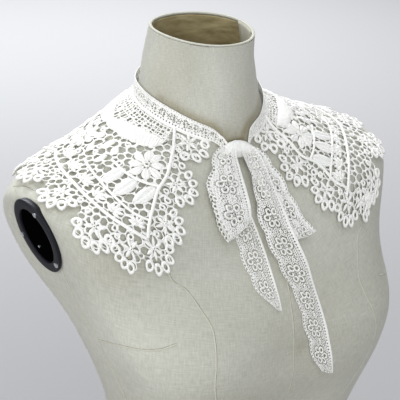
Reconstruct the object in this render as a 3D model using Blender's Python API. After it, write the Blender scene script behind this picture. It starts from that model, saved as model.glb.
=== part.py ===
"""A white lace cape collar with a tied lace ribbon, on a limbless dress form.

Lengths in the tables are in millimetres, angles in degrees. An angle on the form is 0 at the front and grows
towards the wearer's left. "Down" is the distance along the form's surface from the seam round the neck.
"""
import math

import bmesh
import bpy
import numpy as np
from mathutils.geometry import delaunay_2d_cdt

for old in list(bpy.data.objects):
    bpy.data.objects.remove(old)

MM = 0.001
BASE_DROP = 580.0  # the height of the side neck point above the table
GAP = 0.3

# The dress form: heights at the front, side and back, then radii every 45 degrees from front to back
FORM_STATIONS = (
    # name, z_front, z_side, z_back, r_front, r_45, r_side, r_135, r_back
    ("neck_top", 58, 65, 71, 45, 44.5, 46, 50, 49),
    ("neck_mid", 29, 38, 50, 47, 44.5, 51, 55, 52),
    ("neck_base", -28, -2, 15, 49, 53, 61, 62, 57),
    ("collar_bone", -51, -17, 3, 64, 78, 92, 77, 71),
    ("shoulder_mid", -78, -38, -19, 82, 108, 140, 100, 89),
    ("shoulder_out", -104, -54, -53, 99, 129, 190, 119, 104),
    ("shoulder_cap", -136, -80, -89, 118, 140, 201, 139, 112),
    ("armhole_mid", -167, -121, -125, 129, 156, 183, 149, 114),
    ("armhole_low", -199, -170, -167, 132, 174, 153, 143, 113),
    ("bust", -234, -219, -221, 129, 168, 130, 126, 107),
    ("under_bust", -300, -293, -297, 106, 140, 109, 98, 89),
    ("waist", -400, -400, -400, 94, 106, 108, 92, 70),
    ("high_hip", -490, -490, -490, 110, 132, 148, 130, 96),
    ("hip", -580, -580, -580, 114, 146, 168, 148, 112),
)
SEAM_STATION = 2.0  # the neck seam runs along the neck_base station
SPLIT_STATION = 1.6  # the neck tube meets the torso here, behind the neck band
FORM_SEGMENTS = 40
NECK_WALL = 4.0

# The flat ends of the shoulders and the oval plates on them
PLATE_CENTRE = np.array([183.7, -12.0, -87.0])
PLATE_FACING = np.array([0.96, -0.06, -0.27]) / np.linalg.norm([0.96, -0.06, -0.27])
PLATE_SINK = 1.5
PLATE_BLEND = 4.0
FLAT_UNTIL = 9.5
PLATE_HALF_WIDTH = 26.5
PLATE_HALF_HEIGHT = 35.0
PLATE_TURN = 0.15
PLATE_INNER = 0.70
PLATE_SIDES = 32
PLATE_PROFILE = (
    # share of the outline, height above the plate's centre plane
    (1.00, -1.1),
    (1.00, 1.3),
    (0.96, 2.3),
    (0.75, 2.3),
    (0.70, 1.5),
    (0.70, -1.1),
)

# The collar is worn turned a little towards the wearer's right
WORN_TURN = -6.0
LACE_WALL = 1.6
LACE_LIFT = 1.0
LACE_LIFT_RATE = 0.02
NECK_ANGLE = 26.0  # the front end of the neck edge
BACK_SEAM_ANGLE = 179.75

# The back of each half repeats the front, mirrored about the shoulder line
FRONT_ANGLES = (26, 35, 40, 45, 55, 65, 75, 85, 99)
BACK_ANGLES = (187, 172, 166, 157, 144, 132, 122, 113, 99)

# The left half is pulled up a little on the shoulder: places on it, and how far each moves
PULLED_UP = (
    # angle, down, degrees along, millimetres down
    (46, 7, 0, 0),
    (60, 10, 0, -2),
    (80, 20, 0, -1),
    (99, 20, 0, 0),
    (46, 30, -1.5, -4),
    (46, 55, -3.5, -8.6),
    (46, 97, -1, -15),
    (50, 117, 1.8, -16),
    (51, 126, 1.5, -11),
    (62.5, 130, -0.5, -10),
    (61, 49, 1.5, -13),
    (62.5, 79, 1, -17),
    (68.7, 75, 1.5, -15),
    (80, 70, 1, -7),
    (81, 98, 0, -3),
    (76, 115, 1, -1),
    (91, 109, 0, 0),
    (99, 55, 0, 0),
    (99, 90, 0, 0),
)
PULL_DEGREE = 2.0  # millimetres to a degree, when the nearest of these places is weighed
PULL_SOFT = 4.0

# Scalloped lobes of the edge, each a fan of eyelet petals round a small flower
LOBES = (
    # name, angle, down, radius, first turn, last turn, petals
    ("neck", 46, 7, 17.0, 188, 92, 4),
    ("front_upper", 46, 55, 17.0, 235, 112, 5),
    ("front_lower", 46, 97, 14.5, 250, 112, 5),
    ("point_front", 48, 121, 16.5, 200, 78, 5),
    ("point_arm", 53.5, 131, 15.5, 92, 25, 4),
    ("arm_lower", 62.5, 130, 15.5, 168, 16, 6),
    ("arm_upper", 76, 115, 17.0, 160, 40, 5),
    ("shoulder", 91, 109, 15.5, 150, 45, 4),
)
PETAL_REACH = 4.6
EYELET = 2.35
EYELET_SIDES = 5
HEART_INSET = 6.5  # the gaps beside a lobe's flower lie this far inside its petals
HEART_GAP = (2.3, 2.5)

# Raised cords of the front panel as (angle, down) pairs
CORDS = (
    ("front", ((58, 6), (53, 24), (51, 48), (52, 70), (51, 92), (50, 113))),
    ("arm", ((99, 84), (90, 92), (77, 101), (67, 110), (59, 116), (50, 117))),
    ("inner", ((84, 74), (74, 83), (66, 91), (56, 101))),
)
CORD_RAISE = 1.3
FILL_STEP = 11.0  # spacing of the plain points between the gaps
FILL_CLEAR = 4.2
FILL_DOWN = (7.0, 150.0)
FILL_ANGLES = (27.0, 179.0)
LACE_CLEAR = 1.35  # the least width of lace between two gaps
RIM_STEP = 1.5

# Larger gaps of the panel: the ring round the flower, then single ones
FLOWER = (61, 49, 19.5, 8)
FLOWER_GAP_RING = 0.86
FLOWER_GAP = (3.0, 2.5)
PANEL_GAPS = (
    # angle, down, half_width, half_height, turn
    (59, 70, 3.6, 2.6, 20),
    (72, 58, 3.2, 2.6, 0),
    (66, 86, 3.4, 2.4, 35),
    (72, 79, 2.8, 2.4, 35),
    (54.5, 85, 3.6, 3.8, 0),
    (76, 89, 3.6, 2.8, 30),
    (72, 93.5, 2.8, 2.4, 30),
    (67, 98, 2.8, 2.6, 30),
    (63, 102, 3.0, 2.8, 30),
    (58.5, 106, 3.4, 2.6, 20),
    (82, 83, 3.0, 2.6, 30),
    (87, 80, 3.2, 2.8, 20),
    (94, 76, 3.0, 2.6, 10),
    (86, 62, 2.6, 2.4, 0),
    (93, 55, 2.8, 2.6, 0),
)
NET_ROWS = (
    # down, first angle, last angle, gaps
    (7.5, 66, 97, 5),
    (13.5, 68, 95, 4),
)
NET_GAP = 2.4
FIELD_ROWS = (
    # down, first angle, last angle, gaps: the small gaps between the lobes and the cords
    (38, 45.5, 46.5, 1),
    (74, 46, 48, 1),
    (108, 92, 96, 1),
    (104, 84, 86, 1),
    (119, 70, 72, 1),
)
MOST_GAPS = 70  # in one quarter of the cape
NECK_RADIUS = 60.0  # of the neck seam in the plane picture that the cape is laid out in

# The neck band: angle from the centre front of the collar, top edge, bottom edge
BAND_EDGES = (
    (11.5, 0.5, 9.5),
    (15, -5, 6.0),
    (20, -9, 2.0),
    (24, -11, -GAP),
    (30, -12, -GAP),
    (60, -13.5, -GAP),
    (180, -14, -GAP),
)
BAND_WALL = 1.2
BAND_AWAY = np.concatenate([[11.5, 13, 15, 17, 20, 25], np.arange(30, 181, 7.0)])
BAND_END_RISE = 4.6  # the ends of the band rise to the knot

# Ribbons as rows of (left angle, left down, right angle, right down, height above the form)
RIBBON_WALL = 1.1
LOOP_RIGHT = (
    (-21, 15.1, -9, 15.1, 9.0),
    (-31, 30, -8, 28, 10.5),
    (-37, 48, -9, 42, 11.0),
    (-34, 68, -10, 55, 10.5),
    (-29, 90, -11.2, 66, 9.2),
    (-28.4, 93.4, -11.4, 68.6, 7.4),
    (-29, 90, -11.2, 66, 5.8),
    (-34, 68, -10, 55, 5.6),
    (-36.5, 48, -9.5, 42, 5.6),
    (-30.5, 30, -8.5, 28, 5.6),
    (-20, 14.9, -9.5, 14.9, 5.4),
)
LOOP_LEFT = (
    (-3.5, 14.6, 6.5, 14.6, 7.2),
    (-1, 30, 20, 27, 8.4),
    (3, 52, 24.4, 50, 9.0),
    (7, 80, 24, 77, 8.4),
    (9.5, 96, 24.5, 98, 7.6),
    (9.8, 99, 24.2, 101.5, 6.2),
    (9.5, 96, 24.5, 98, 4.9),
    (7, 80, 24, 77, 4.8),
    (3, 52, 24, 50, 4.8),
    (-1, 30, 19, 27, 4.6),
    (-3.5, 14.4, 6, 14.4, 4.2),
)
TAIL_RIGHT = (
    (-17, 13.2, -8, 13.2, 2.9),
    (-20, 38, -9, 36, 1.5),
    (-22, 64, -10.3, 60, 1.3),
    (-22.5, 86, -10, 78, 1.3),
    (-23.5, 104, -8, 98, 1.3),
    (-20.5, 119, -7, 116, 1.3),
    (-18, 131, -6, 131, 1.4),
    (-14, 142, -6.2, 143, 1.6),
    (-8, 153, -6.8, 153.5, 1.8),
)
TAIL_LEFT = (
    (-3.5, 14.2, 8.5, 13.2, 10.6),
    (-3, 42, 11, 36, 10.9),
    (-6, 72, 12, 67, 10.6),
    (-5, 96, 13, 98, 9.2),
    (-3.5, 114, 12.6, 117, 5.0),
    (-2.5, 128, 12.4, 131, 2.0),
    (0, 151, 13.2, 152, 1.4),
    (1.6, 168, 14, 168, 1.3),
    (3, 183, 14.6, 183, 1.4),
    (5, 200, 15.2, 200, 2.0),
    (7, 214, 15.8, 216, 2.8),
    (14, 229, 16.2, 231, 3.6),
)
RIBBON_ACROSS = 5
SCALLOP_PITCH = 25.0
SCALLOP_DEPTH = 1.6
KNOT = (-6, 6.2, 7.6)
KNOT_HALF = (10.4, 7.0, 6.0)
KNOT_RINGS = (-75, -50, -20, 15, 45, 72)
KNOT_SIDES = 16


def series(angles, values):
    """Coefficients of a cosine series through the values at the angles, one column per row of values."""
    grid = np.cos(np.outer(np.radians(angles), np.arange(len(angles))))
    return np.linalg.solve(grid, np.array(values, float).T)


FORM = np.array([row[1:] for row in FORM_STATIONS], float)
HEIGHTS = series((0, 90, 180), FORM[:, 0:3]).T
RADII = series((0, 45, 90, 135, 180), FORM[:, 3:8]).T


def between(table, t):
    """Smooth values of a table's rows at the fractional row numbers t."""
    last = len(table) - 1
    i = np.clip(np.floor(t).astype(int), 0, last - 1)
    f = (t - i)[..., None]
    a, b, c, d = (table[np.clip(i + k, 0, last)] for k in (-1, 0, 1, 2))
    return 0.5 * (2 * b + (c - a) * f + (2 * a - 5 * b + 4 * c - d) * f**2 + (3 * b - a - 3 * c + d) * f**3)


def form_point(angle, t):
    """Points of the form's surface at angles in degrees and station numbers, in millimetres."""
    angle = np.radians(np.asarray(angle, float))
    t = np.asarray(t, float)
    z = (between(HEIGHTS, t) * np.cos(angle[..., None] * np.arange(3))).sum(-1)
    r = (between(RADII, t) * np.cos(angle[..., None] * np.arange(5))).sum(-1)
    p = np.stack([r * np.sin(angle), -r * np.cos(angle), z], -1)
    flattened = np.clip(FLAT_UNTIL + 1 - t, 0, 1)  # the flat ends stop above the waist
    for side in (1, -1):
        flip = np.array([side, 1, 1])
        facing = PLATE_FACING * flip
        over = (p - PLATE_CENTRE * flip) @ facing + PLATE_SINK
        p = p - (flattened * PLATE_BLEND * np.logaddexp(0, over / PLATE_BLEND))[..., None] * facing
    return p


def raised_point(angle, t, height):
    """Points at a height above the form's surface."""
    angle, t = np.broadcast_arrays(np.asarray(angle, float), np.asarray(t, float))
    across = form_point(angle + 0.05, t) - form_point(angle - 0.05, t)
    along = form_point(angle, t + 0.005) - form_point(angle, np.maximum(t - 0.005, 0))
    out = np.cross(along, across)
    out /= np.linalg.norm(out, axis=-1, keepdims=True)
    return form_point(angle, t) + out * np.asarray(height, float)[..., None]


GRID_ANGLES = np.arange(-190.0, 191.0, 2.0)
GRID_STATIONS = np.arange(0, 12.001, 0.025)
GRID = raised_point(*np.meshgrid(GRID_ANGLES, GRID_STATIONS), 3.0 * np.ones((1, 1)))
STEPS = np.linalg.norm(np.diff(GRID, axis=0), axis=-1)
LENGTHS = np.concatenate([np.zeros((1, STEPS.shape[1])), np.cumsum(STEPS, 0)])
LENGTHS -= LENGTHS[np.argmin(abs(GRID_STATIONS - SEAM_STATION))]


def station(angle, down):
    """The station number at an angle and a distance down from the neck seam."""
    angle = (angle + 180.0) % 360.0 - 180.0
    k = (angle - GRID_ANGLES[0]) / 2.0
    i = int(k)
    low, high = (np.interp(down, LENGTHS[:, j], GRID_STATIONS) for j in (i, i + 1))
    return low + (high - low) * (k - i)


def on_form(angle, down, height):
    """A point at an angle, a distance down and a height above the form, in millimetres."""
    return raised_point(angle, station(angle, down), height)


def spread(angle, down):
    """How many millimetres one degree is at an angle and distance down."""
    return float(np.linalg.norm(on_form(angle + 1, down, 3.0) - on_form(angle - 1, down, 3.0))) / 2


def material(name, colour, roughness, metallic=0.0):
    """A plain material in a linear colour."""
    made = bpy.data.materials.new(name)
    made.use_nodes = True
    shader = made.node_tree.nodes["Principled BSDF"]
    shader.inputs["Base Color"].default_value = (*colour, 1)
    shader.inputs["Roughness"].default_value = roughness
    shader.inputs["Metallic"].default_value = metallic
    return made


LINEN = material("linen_cover", (0.72, 0.70, 0.64), 0.9)
LACE = material("white_lace", (0.90, 0.90, 0.88), 0.85)
PLATE = material("dark_plate", (0.03, 0.03, 0.035), 0.45)
HOLE = material("black_hole", (0.006, 0.006, 0.007), 0.6)


def make(name, points, faces, look):
    """A closed mesh object from points in millimetres measured from the side neck point's height."""
    mesh = bpy.data.meshes.new(name)
    points = (np.array(points, float) + (0, 0, BASE_DROP)) * MM
    mesh.from_pydata([tuple(p) for p in points], [], [tuple(f) for f in faces])
    shape = bmesh.new()
    shape.from_mesh(mesh)
    bmesh.ops.recalc_face_normals(shape, faces=shape.faces)
    shape.to_mesh(mesh)
    shape.free()
    mesh.materials.append(look)
    made = bpy.data.objects.new(name, mesh)
    bpy.context.collection.objects.link(made)
    return made


def loft(rings, closed_across=True):
    """Quads between rings of point numbers."""
    faces = []
    for low, high in zip(rings, rings[1:]):
        n = len(low)
        for i in range(n if closed_across else n - 1):
            j = (i + 1) % n
            faces.append((low[i], low[j], high[j], high[i]))
    return faces


# Dress form
SEGMENT_ANGLES = np.arange(FORM_SEGMENTS) * 360.0 / FORM_SEGMENTS - 180.0
TORSO_STATIONS = np.concatenate(
    [[SPLIT_STATION], np.arange(1.8, 5.1, 0.2), np.arange(5.3, 9.9, 0.45), np.arange(10.6, 12.8, 0.6), [13.0]]
)


def torso():
    """The torso, from behind the neck band to its flat base, and the middle of its top."""
    rings, points = [], []
    for t in TORSO_STATIONS:
        ring = form_point(SEGMENT_ANGLES, np.full(FORM_SEGMENTS, t))
        rings.append(list(range(len(points), len(points) + FORM_SEGMENTS)))
        points.extend(ring)
    faces = loft(rings)
    for ring in (rings[0], rings[-1]):
        centre = np.mean([points[i] for i in ring], axis=0)
        points.append(centre)
        faces += [(a, b, len(points) - 1) for a, b in zip(ring, ring[1:] + ring[:1])]
    return make("form_torso", points, faces, LINEN), points[len(rings) * FORM_SEGMENTS]


def neck(cap_centre):
    """The open tube of the neck, standing on the torso's top."""
    stations = np.array([0.0, 0.35, 0.7, 1.0, 1.3, SPLIT_STATION])
    points, rings = [], []
    for wall in (0.0, NECK_WALL):
        for t in stations if wall == 0 else stations[::-1]:
            ring = form_point(SEGMENT_ANGLES, np.full(FORM_SEGMENTS, t))
            flat = np.hypot(ring[:, 0], ring[:, 1])[:, None]
            share = (flat - wall) / flat
            if t == SPLIT_STATION:
                ring = cap_centre + (ring - cap_centre) * share + (0, 0, GAP)
            else:
                ring = ring * np.hstack([share, share, np.ones_like(share)])
            rings.append(list(range(len(points), len(points) + FORM_SEGMENTS)))
            points.extend(ring)
    rings.append(rings[0])
    return make("form_neck", points, loft(rings), LINEN)


def arm_plate(side, word):
    """An oval ring on the flat end of a shoulder, and the dark middle that it frames."""
    facing = PLATE_FACING * (side, 1, 1)
    centre = PLATE_CENTRE * (side, 1, 1)
    up = np.array([0, 0, 1.0]) - facing * facing[2]
    up /= np.linalg.norm(up)
    wide = np.cross(up, facing)
    turn = PLATE_TURN * side
    tall = up * math.cos(turn) + wide * math.sin(turn)
    wide = wide * math.cos(turn) - up * math.sin(turn)
    angles = np.arange(PLATE_SIDES) * 2 * math.pi / PLATE_SIDES
    first = list(range(PLATE_SIDES))

    def oval(share, height, less=0.0):
        return [
            centre
            + wide * (PLATE_HALF_WIDTH * share - less) * math.cos(a)
            + tall * (PLATE_HALF_HEIGHT * share - less) * math.sin(a)
            + facing * height
            for a in angles
        ]

    points, rings = [], []
    for share, height in PLATE_PROFILE:
        rings.append([i + len(points) for i in first])
        points += oval(share, height)
    rings.append(rings[0])
    make(f"arm_plate_{word}", points, loft(rings), PLATE)
    low, high = oval(PLATE_INNER, -1.1, GAP + 0.1), oval(PLATE_INNER, -0.2, GAP + 0.1)
    last = [i + PLATE_SIDES for i in first]
    faces = loft([first, last]) + [tuple(first), tuple(last)]
    make(f"arm_hole_{word}", low + high, faces, HOLE)


def wall(name, grid, thickness, look):
    """A closed wall of even thickness about a grid of mid points."""
    grid = np.array(grid, float)
    out = np.cross(np.gradient(grid, axis=0), np.gradient(grid, axis=1))
    out /= np.linalg.norm(out, axis=-1, keepdims=True)
    n, m = grid.shape[:2]
    half = out * thickness / 2
    points = np.concatenate([(grid + half).reshape(-1, 3), (grid - half).reshape(-1, 3)])
    faces = []
    for side in (0, n * m):
        rows = [list(range(side + i * m, side + (i + 1) * m)) for i in range(n)]
        faces += loft(rows, closed_across=False)
    rim = list(range(m)) + [i * m + m - 1 for i in range(1, n)]
    rim += [(n - 1) * m + j for j in range(m - 2, -1, -1)] + [i * m for i in range(n - 2, 0, -1)]
    faces += loft([rim, [i + n * m for i in rim]])
    return make(name, points, faces, look)


# Cape halves
class Quarter:
    """Places the shapes of one quarter of the cape; the back mirrors the front."""

    def __init__(self, side, back):
        self.side, self.back = side, back

    def centre(self, angle, down):
        """Where a place on the pattern's front lies in this quarter."""
        if self.back:
            return float(np.interp(angle, FRONT_ANGLES, BACK_ANGLES)), down
        if self.side < 0:
            return angle, down
        table = np.array(PULLED_UP, float)
        away = ((table[:, 0] - angle) * PULL_DEGREE) ** 2 + (table[:, 1] - down) ** 2
        weight = 1 / (away + PULL_SOFT**2) ** 1.5
        along, below = (table[:, 2:] * weight[:, None]).sum(0) / weight.sum()
        return angle + float(along), down + float(below)

    def place(self, angle, down, a=0.0, b=0.0):
        """Angle and distance down of a point a along and b down from a centre, in millimetres."""
        middle, down = self.centre(angle, down)
        scale = spread(self.side * middle + WORN_TURN, max(down, 0.0))
        return middle + (-a if self.back else a) / scale, down + b


def lobes_of(quarter):
    """The lobes of a quarter; the one at the neck is on the front alone."""
    return [lobe for lobe in LOBES if not (quarter.back and lobe[0] == "neck")]


def petals(lobe):
    """Centres of a lobe's petals with the directions they point."""
    _, angle, down, radius, first, last, count = lobe
    for k in range(count):
        turn = math.radians(first + (last - first) * k / (count - 1))
        yield angle, down, radius * math.cos(turn), radius * math.sin(turn), turn


def edge_path(quarter):
    """The scalloped edge of a quarter, three points to a petal."""
    path = []
    for lobe in lobes_of(quarter):
        for angle, down, a, b, turn in petals(lobe):
            for way in np.radians((60, 0, -60)) + turn:
                reach = (a + PETAL_REACH * math.cos(way), b + PETAL_REACH * math.sin(way))
                path.append(quarter.place(angle, down, *reach))
    return path


def hole(quarter, angle, down, a, b, half_width, half_height, turn, sides):
    """The rim of a gap about a point a along and b down from a centre."""
    turn = math.radians(turn)
    points = []
    for k in range(sides):
        way = 2 * math.pi * (k + 0.5) / sides
        x, y = half_width * math.cos(way), half_height * math.sin(way)
        along = a + x * math.cos(turn) - y * math.sin(turn)
        below = b + x * math.sin(turn) + y * math.cos(turn)
        points.append(quarter.place(angle, down, along, below))
    return points


def all_holes(quarter):
    """Gaps of a quarter, the largest kinds first."""
    for angle, down, half_width, half_height, turn in PANEL_GAPS:
        yield hole(quarter, angle, down, 0, 0, half_width, half_height, turn, 6)
    angle, down, radius, count = FLOWER
    for k in range(count):
        way = 2 * math.pi * (k + 0.5) / count
        a, b = radius * FLOWER_GAP_RING * math.cos(way), radius * FLOWER_GAP_RING * math.sin(way)
        yield hole(quarter, angle, down, a, b, *FLOWER_GAP, math.degrees(way), EYELET_SIDES)
    for lobe in lobes_of(quarter):
        for angle, down, a, b, turn in petals(lobe):
            yield hole(quarter, angle, down, a, b, EYELET, EYELET, math.degrees(turn), EYELET_SIDES)
    for down, first, last, count in NET_ROWS + FIELD_ROWS:
        for k in range(count):
            angle = first + (last - first) * (k + 0.5) / count
            yield hole(quarter, angle, down, 0, 0, NET_GAP, NET_GAP, 0, 4)
    for lobe in lobes_of(quarter):
        _, angle, down, radius, first, last, count = lobe
        for k in range(count - 1):
            way = math.radians(first + (last - first) * (k + 0.5) / (count - 1))
            a, b = (radius - HEART_INSET) * math.cos(way), (radius - HEART_INSET) * math.sin(way)
            yield hole(quarter, angle, down, a, b, *HEART_GAP, math.degrees(way), 4)


def flat(angle, down):
    """A plane picture of the cape in which its shapes keep nearly their own form."""
    way = math.radians(angle)
    return (NECK_RADIUS + down) * math.sin(way), -(NECK_RADIUS + down) * math.cos(way)


def unflat(x, y):
    """The angle and distance down of a point of the plane picture."""
    return math.degrees(math.atan2(x, -y)) % 360.0, math.hypot(x, y) - NECK_RADIUS


def inside(point, loop):
    """Whether a loop winds round the point; where its petals overlap the point is inside too."""
    x, y = point
    a, b = loop, np.roll(loop, -1, axis=0)
    crosses = (a[:, 1] > y) != (b[:, 1] > y)
    with np.errstate(divide="ignore", invalid="ignore"):
        at = (b[:, 0] - a[:, 0]) * (y - a[:, 1]) / (b[:, 1] - a[:, 1]) + a[:, 0]
    ways = np.where(b[:, 1] > a[:, 1], 1, -1)
    return int((ways * (crosses & (x < at))).sum()) != 0


def half_outline(side):
    """The edge of a half: its scallops, the seam at the centre back, and the neck edge."""
    front, back = Quarter(side, False), Quarter(side, True)
    outline = edge_path(front)
    outline += edge_path(back)[::-1]
    outline += [(170.5, 30), (176, 27)] + [(BACK_SEAM_ANGLE, d) for d in (25, 17, 9, GAP)]
    outline += [(a, GAP) for a in np.arange(173, 31, -7.0)]
    return outline + [(NECK_ANGLE + 1.5, GAP), (NECK_ANGLE, 2.8)]


def clear_of(points, others, least):
    """Whether points are further than least from all the others."""
    return all(np.linalg.norm(points[:, None] - o[None], axis=-1).min() > least for o in others)


def close_edge(loop, step):
    """A loop's points with more between them, no further apart than step."""
    out = []
    for a, b in zip(loop, np.roll(loop, -1, axis=0)):
        n = max(1, math.ceil(np.linalg.norm(b - a) / step))
        out += [a + (b - a) * k / n for k in range(n)]
    return np.array(out)


def cut_gaps(side, outline, rim, taken):
    """The gaps of a half that leave enough lace between them; what they take up is added to taken."""
    gaps = []
    for back in (False, True):
        quarter = Quarter(side, back)
        kept = 0
        for loop in all_holes(quarter):
            if kept == MOST_GAPS or any(a > FILL_ANGLES[1] for a, _ in loop):
                continue
            if not all(inside(flat(*p), rim) for p in loop):
                continue
            close = close_edge(worn(side, loop), RIM_STEP)
            if clear_of(close, taken, LACE_CLEAR):
                taken.append(close)
                gaps.append(loop)
                kept += 1
    return gaps


def cord_points(side, taken):
    """Points along the cords that are clear of the gaps."""
    ridges = []
    for back in (False, True):
        quarter = Quarter(side, back)
        for _, path in CORDS:
            path = np.array(path, float)
            for k in range(len(path) - 1):
                for f in (0.0, 0.33, 0.67):
                    point = quarter.centre(*(path[k] + (path[k + 1] - path[k]) * f))
                    here = worn(side, [point])
                    if clear_of(here, taken, 1.0):
                        taken.append(here)
                        ridges.append(point)
    return ridges


def plain_points(side, rim, gap_loops, taken):
    """Points of the plain lace between the gaps, so that the wall follows the form."""
    fill = []
    for down in np.arange(*FILL_DOWN, FILL_STEP):
        for angle in np.arange(*FILL_ANGLES, FILL_STEP / (0.02 * (NECK_RADIUS + down))):
            spot = flat(angle, down)
            if not inside(spot, rim) or any(inside(spot, h) for h in gap_loops):
                continue
            here = worn(side, [(angle, down)])
            if clear_of(here, taken, FILL_CLEAR):
                taken.append(here)
                fill.append((float(angle), float(down)))
    return fill


def worn(side, loop):
    """Points of a half's places on the form."""
    return np.array([on_form(side * a + WORN_TURN, d, 3.0) for a, d in loop])


def cape_half(side, word):
    """One half of the cape: a wall with its larger gaps cut through and its cords raised."""
    outline = half_outline(side)
    rim = np.array([flat(*p) for p in outline])
    taken = [close_edge(worn(side, outline), RIM_STEP)]
    gaps = cut_gaps(side, outline, rim, taken)
    gap_loops = [np.array([flat(*p) for p in loop]) for loop in gaps]
    ridges = cord_points(side, taken)
    fill = plain_points(side, rim, gap_loops, taken)
    points, edges = [], []
    for loop in [outline] + gaps:
        start = len(points)
        points += loop
        edges += [(start + i, start + (i + 1) % len(loop)) for i in range(len(loop))]
    raised = len(points)
    points += ridges
    plain = len(points)
    points += fill
    spots = [flat(*p) for p in points]
    out_spots, _, out_faces, back_to, _, _ = delaunay_2d_cdt(spots, edges, [], 0, 1e-5)
    middles = np.array([h.mean(0) for h in gap_loops])
    reach = np.array([np.linalg.norm(h - m, axis=1).max() for h, m in zip(gap_loops, middles)])
    kept = []
    for face in out_faces:
        centre = np.mean([out_spots[i] for i in face], axis=0)
        near = np.nonzero(np.linalg.norm(middles - centre, axis=1) < reach)[0]
        if inside(centre, rim) and not any(inside(centre, gap_loops[i]) for i in near):
            kept.append(tuple(face))
    source = [ids[0] if ids else -1 for ids in back_to]
    used = sorted({i for face in kept for i in face})
    order = {i: k for k, i in enumerate(used)}
    n = len(used)
    low, high = [], []
    for i in used:
        angle, down = points[source[i]] if source[i] >= 0 else unflat(*out_spots[i])
        lift = LACE_LIFT + LACE_LIFT_RATE * max(down, 0)
        top = lift + LACE_WALL + (CORD_RAISE if raised <= source[i] < plain else 0)
        worn_angle = side * angle + WORN_TURN
        low.append(on_form(worn_angle, down, lift))
        high.append(on_form(worn_angle, down, top))
    faces = [tuple(order[i] for i in f) for f in kept]
    sides = {(f[i], f[(i + 1) % 3]) for f in faces for i in range(3)}
    walls = [(b, a, a + n, b + n) for a, b in sorted(sides) if (b, a) not in sides]
    top_faces = [tuple(i + n for i in f) for f in faces]
    low_faces = [tuple(reversed(f)) for f in faces]
    return make(f"collar_{word}", low + high, top_faces + low_faces + walls, LACE)


def band():
    """The standing neck band, from one side of the knot round the neck to the other."""
    table = np.array(BAND_EDGES, float)
    grid = []
    for turn in np.concatenate([-BAND_AWAY, BAND_AWAY[::-1] - 360]):
        away = min(abs(turn), 360 - abs(turn))
        top, bottom = (np.interp(away, table[:, 0], table[:, k]) for k in (1, 2))
        row = []
        for share in (0, 0.5, 1.0):
            height = 1.3 + 1.6 * share**1.5 + BAND_END_RISE * float(np.clip((19 - away) / 8, 0, 1))
            row.append(on_form(turn + WORN_TURN, bottom + (top - bottom) * share, height))
        grid.append(row)
    return wall("neck_band", grid, BAND_WALL, LACE)


def ribbon(name, rows, scalloped_left):
    """A ribbon through rows of its edges; scallops run along its left or right edge."""
    rows = np.array(rows, float)
    fine = []
    for k in range(len(rows) - 1):
        for f in (0.0, 0.5):
            fine.append(between(rows, np.array(k + f)))
    fine.append(rows[-1])
    fine = np.array(fine)
    grid, run, last = [], 0.0, None
    for row in fine:
        edge = on_form(row[0] if scalloped_left else row[2], row[1] if scalloped_left else row[3], row[4])
        run += 0 if last is None else float(np.linalg.norm(edge - last))
        last = edge
        wave = SCALLOP_DEPTH * (1 - abs(math.sin(math.pi * run / SCALLOP_PITCH)))
        width = np.linalg.norm(on_form(row[0], row[1], row[4]) - on_form(row[2], row[3], row[4]))
        cut = min(0.2, wave / max(width, 1e-6))
        line = []
        for j in range(RIBBON_ACROSS):
            share = j / (RIBBON_ACROSS - 1)
            share = cut + share * (1 - cut) if scalloped_left else share * (1 - cut)
            angle = row[0] + (row[2] - row[0]) * share
            down = row[1] + (row[3] - row[1]) * share
            line.append(on_form(angle, down, row[4]))
        grid.append(line)
    return wall(name, grid, RIBBON_WALL, LACE)


def knot():
    """The knot, with a creased waist."""
    angle, down, height = KNOT
    centre = on_form(angle, down, height)
    out = on_form(angle, down, height + 1) - centre
    out /= np.linalg.norm(out)
    across = on_form(angle + 1, down, height) - on_form(angle - 1, down, height)
    across -= out * (across @ out)
    across /= np.linalg.norm(across)
    below = np.cross(across, out)
    points, rings = [], []
    for lat in KNOT_RINGS:
        squash = math.cos(math.radians(lat))
        ring = []
        for lon in np.arange(KNOT_SIDES) * 2 * math.pi / KNOT_SIDES:
            crease = 1 - 0.14 * math.exp(-(((lat - 5) / 28.0) ** 2)) * (0.5 + 0.5 * math.cos(3 * lon + 0.6))
            ring.append(
                centre
                + across * KNOT_HALF[0] * math.sin(math.radians(lat))
                + below * KNOT_HALF[1] * squash * math.cos(lon) * crease
                + out * KNOT_HALF[2] * squash * math.sin(lon) * crease
            )
        rings.append(list(range(len(points), len(points) + KNOT_SIDES)))
        points += ring
    return make("bow_knot", points, loft(rings) + [tuple(rings[0]), tuple(rings[-1])], LACE)


_, cap = torso()
neck(cap)
for side, word in ((-1, "right"), (1, "left")):
    arm_plate(side, word)
    cape_half(side, word)
band()
knot()
ribbon("bow_loop_right", LOOP_RIGHT, True)
ribbon("bow_loop_left", LOOP_LEFT, False)
ribbon("tie_tail_right", TAIL_RIGHT, True)
ribbon("tie_tail_left", TAIL_LEFT, True)
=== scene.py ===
"""A white lace cape collar tied with a lace ribbon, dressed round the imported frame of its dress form.

Lengths inside the classes are in millimetres from the side neck point, and angles are in degrees: an angle
is 0 at the front and grows towards the wearer's left. "Down" is the distance along the form from the neck
seam. Meshes are put out in metres, in the frame's own place.
"""
import logging
import math
from dataclasses import dataclass, field
from enum import Enum
from typing import Iterator

import bmesh
import bpy
import numpy as np
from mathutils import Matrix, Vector
from mathutils.geometry import delaunay_2d_cdt


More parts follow.
